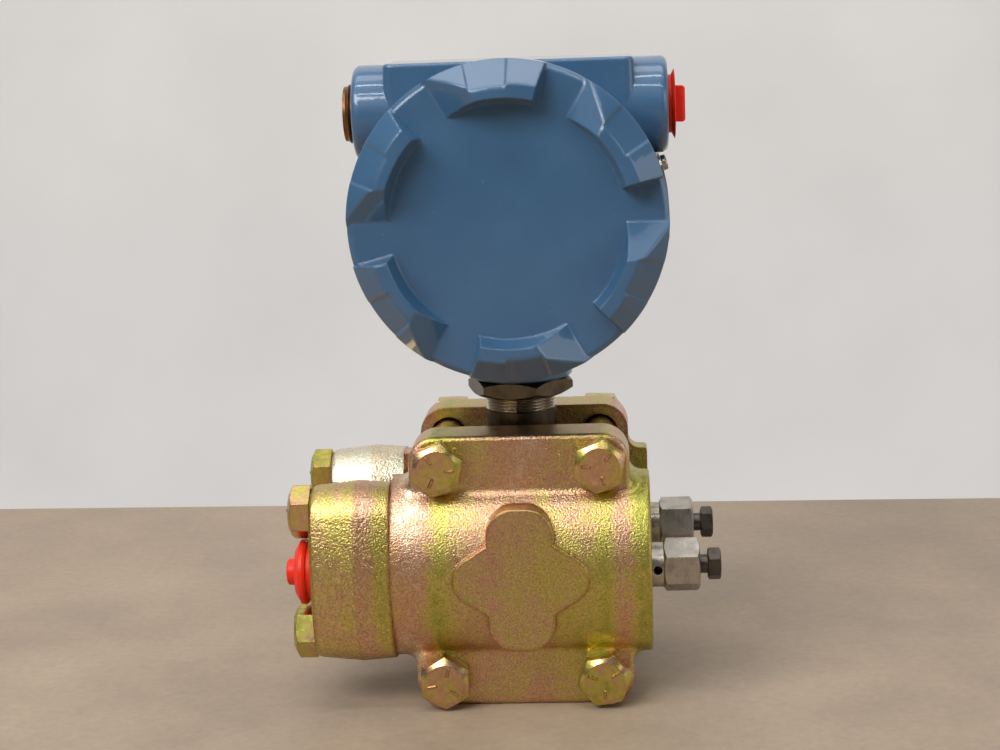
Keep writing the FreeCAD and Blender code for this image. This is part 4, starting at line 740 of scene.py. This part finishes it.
def floor_material():
    """Worn hardboard bench top: sealed brown fibreboard with smudges and fine specks."""
    material, tree = new_material("sealed_fibreboard")
    where = add(tree, "ShaderNodeTexCoord").outputs["Object"]
    smudge = add(tree, "ShaderNodeTexNoise", {"Vector": where, "Scale": per_mm(70),
                                              "Detail": 6.0, "Roughness": 0.62})
    fibre = add(tree, "ShaderNodeTexNoise", {"Vector": where, "Scale": per_mm(3.5),
                                             "Detail": 5.0, "Roughness": 0.7})
    colour = tuple(colours().floor)
    pale = tuple(min(1.0, c * 1.12) for c in colour[:3]) + (1.0,)
    dull = tuple(c * 0.84 for c in colour[:3]) + (1.0,)
    tone = add(tree, "ShaderNodeValToRGB", {"Fac": smudge.outputs["Fac"]})
    set_ramp(tone, [(0.34, dull), (0.52, colour), (0.68, pale)])
    shade = add(tree, "ShaderNodeMapRange", {"Value": fibre.outputs["Fac"], "From Min": 0.3,
                                             "From Max": 0.7, "To Min": 0.90, "To Max": 1.06})
    base = add(tree, "ShaderNodeMix", {"Factor": 1.0, "A": tone.outputs["Color"],
                                       "B": shade.outputs["Result"]},
               data_type="RGBA", blend_type="MULTIPLY")
    matt = add(tree, "ShaderNodeMapRange", {"Value": smudge.outputs["Fac"], "From Min": 0.3,
                                            "From Max": 0.7, "To Min": 0.42, "To Max": 0.6})
    shader = add(tree, "ShaderNodeBsdfPrincipled", {"Base Color": base.outputs["Result"],
                                                    "Roughness": matt.outputs["Result"],
                                                    "Specular IOR Level": 0.3})
    add(tree, "ShaderNodeOutputMaterial", {"Surface": shader.outputs["BSDF"]})
    return material


def wall_material():
    """Plain wall in a pale emulsion paint, faintly uneven."""
    material, tree = new_material("emulsion_painted_wall")
    where = add(tree, "ShaderNodeTexCoord").outputs["Object"]
    cloud = add(tree, "ShaderNodeTexNoise", {"Vector": where, "Scale": per_mm(180),
                                             "Detail": 5.0})
    colour = tuple(colours().wall)
    tone = add(tree, "ShaderNodeValToRGB", {"Fac": cloud.outputs["Fac"]})
    set_ramp(tone, [(0.35, tuple(c * 0.96 for c in colour[:3]) + (1.0,)),
                    (0.65, tuple(min(1.0, c * 1.04) for c in colour[:3]) + (1.0,))])
    shader = add(tree, "ShaderNodeBsdfPrincipled", {"Base Color": tone.outputs["Color"],
                                                    "Roughness": 0.8,
                                                    "Specular IOR Level": 0.2})
    add(tree, "ShaderNodeOutputMaterial", {"Surface": shader.outputs["BSDF"]})
    return material


def area_lamp(name, place, target, width, height, power, colour):
    lamp = bpy.data.lights.new(name, "AREA")
    lamp.shape = "RECTANGLE"
    lamp.size = width
    lamp.size_y = height
    lamp.energy = power
    lamp.color = linear(colour)[:3]
    holder = bpy.data.objects.new(name, lamp)
    holder.location = place
    holder.rotation_euler = (Vector(target) - Vector(place)).to_track_quat("-Z", "Y").to_euler()
    bpy.context.scene.collection.objects.link(holder)


def plane(name, corners, material):
    mesh = bpy.data.meshes.new(name)
    mesh.from_pydata(corners, [], [(0, 1, 2, 3)])
    mesh.materials.append(material)
    piece = bpy.data.objects.new(name, mesh)
    bpy.context.scene.collection.objects.link(piece)


class TRANSMITTER_OT_stage(bpy.types.Operator):
    """Make the floor, the backdrop, the lamps and the camera."""
    bl_idname = "transmitter.stage"
    bl_label = "Stage"

    def execute(self, context):
        scene = bpy.context.scene
        (left_x, left_y), (right_x, right_y) = BENCH_EDGE
        plane("floor", [(left_x, FLOOR_FRONT_Y, 0), (right_x, FLOOR_FRONT_Y, 0),
                        (right_x, right_y, 0), (left_x, left_y, 0)], floor_material())
        plane("backdrop", [(-WALL_REACH, WALL_Y, WALL_LOW), (WALL_REACH, WALL_Y, WALL_LOW),
                           (WALL_REACH, WALL_Y, WALL_HIGH), (-WALL_REACH, WALL_Y, WALL_HIGH)],
              wall_material())
        for lamp in LAMPS:
            area_lamp(*lamp)
        world = bpy.data.worlds.new("room_light")
        world.use_nodes = True
        world.node_tree.nodes["Background"].inputs["Color"].default_value = linear("#F4F1EC")
        world.node_tree.nodes["Background"].inputs["Strength"].default_value = ROOM_LIGHT
        scene.world = world
        camera = bpy.data.cameras.new("camera")
        camera.lens = CAMERA_LENS
        camera.sensor_width = 36.0
        camera.clip_start = 0.01
        holder = bpy.data.objects.new("camera", camera)
        forward = Vector((-math.sin(CAMERA_YAW) * math.cos(CAMERA_PITCH),
                          math.cos(CAMERA_YAW) * math.cos(CAMERA_PITCH),
                          -math.sin(CAMERA_PITCH)))
        right = forward.cross(Vector((0, 0, 1))).normalized()
        up = right.cross(forward)
        turned_right = right * math.cos(CAMERA_ROLL) + up * math.sin(CAMERA_ROLL)
        turned_up = up * math.cos(CAMERA_ROLL) - right * math.sin(CAMERA_ROLL)
        pose = Matrix((turned_right, turned_up, -forward)).transposed().to_4x4()
        pose.translation = CAMERA_PLACE
        holder.matrix_world = pose
        scene.collection.objects.link(holder)
        scene.camera = holder
        scene.view_settings.view_transform = "Standard"
        return {"FINISHED"}


# ---- Panel and registration -----------------------------------------------------------
PIECES = (TRANSMITTER_OT_stage, TRANSMITTER_OT_finishes, TRANSMITTER_OT_covers,
          TRANSMITTER_OT_bolt_marks, TRANSMITTER_OT_threads)


class TRANSMITTER_PT_panel(bpy.types.Panel):
    """Lists the pieces in the 3D view's sidebar."""
    bl_idname = "TRANSMITTER_PT_panel"
    bl_label = "Transmitter"
    bl_space_type = "VIEW_3D"
    bl_region_type = "UI"
    bl_category = "Transmitter"

    def draw(self, context):
        layout = self.layout
        for group in (context.scene.transmitter_sizes, context.scene.transmitter_colours):
            for name in group.__annotations__:
                layout.prop(group, name)
        for piece in PIECES:
            layout.operator(piece.bl_idname)


CLASSES = (TransmitterSizes, TransmitterColours) + PIECES + (TRANSMITTER_PT_panel,)


def register():
    for cls in CLASSES:
        bpy.utils.register_class(cls)
    bpy.types.Scene.transmitter_sizes = PointerProperty(type=TransmitterSizes)
    bpy.types.Scene.transmitter_colours = PointerProperty(type=TransmitterColours)


def unregister():
    del bpy.types.Scene.transmitter_colours
    del bpy.types.Scene.transmitter_sizes
    for cls in reversed(CLASSES):
        bpy.utils.unregister_class(cls)


def main():
    register()
    for piece in PIECES:
        group, name = piece.bl_idname.split(".")
        getattr(getattr(bpy.ops, group), name)()


if __name__ == "__main__":
    main()
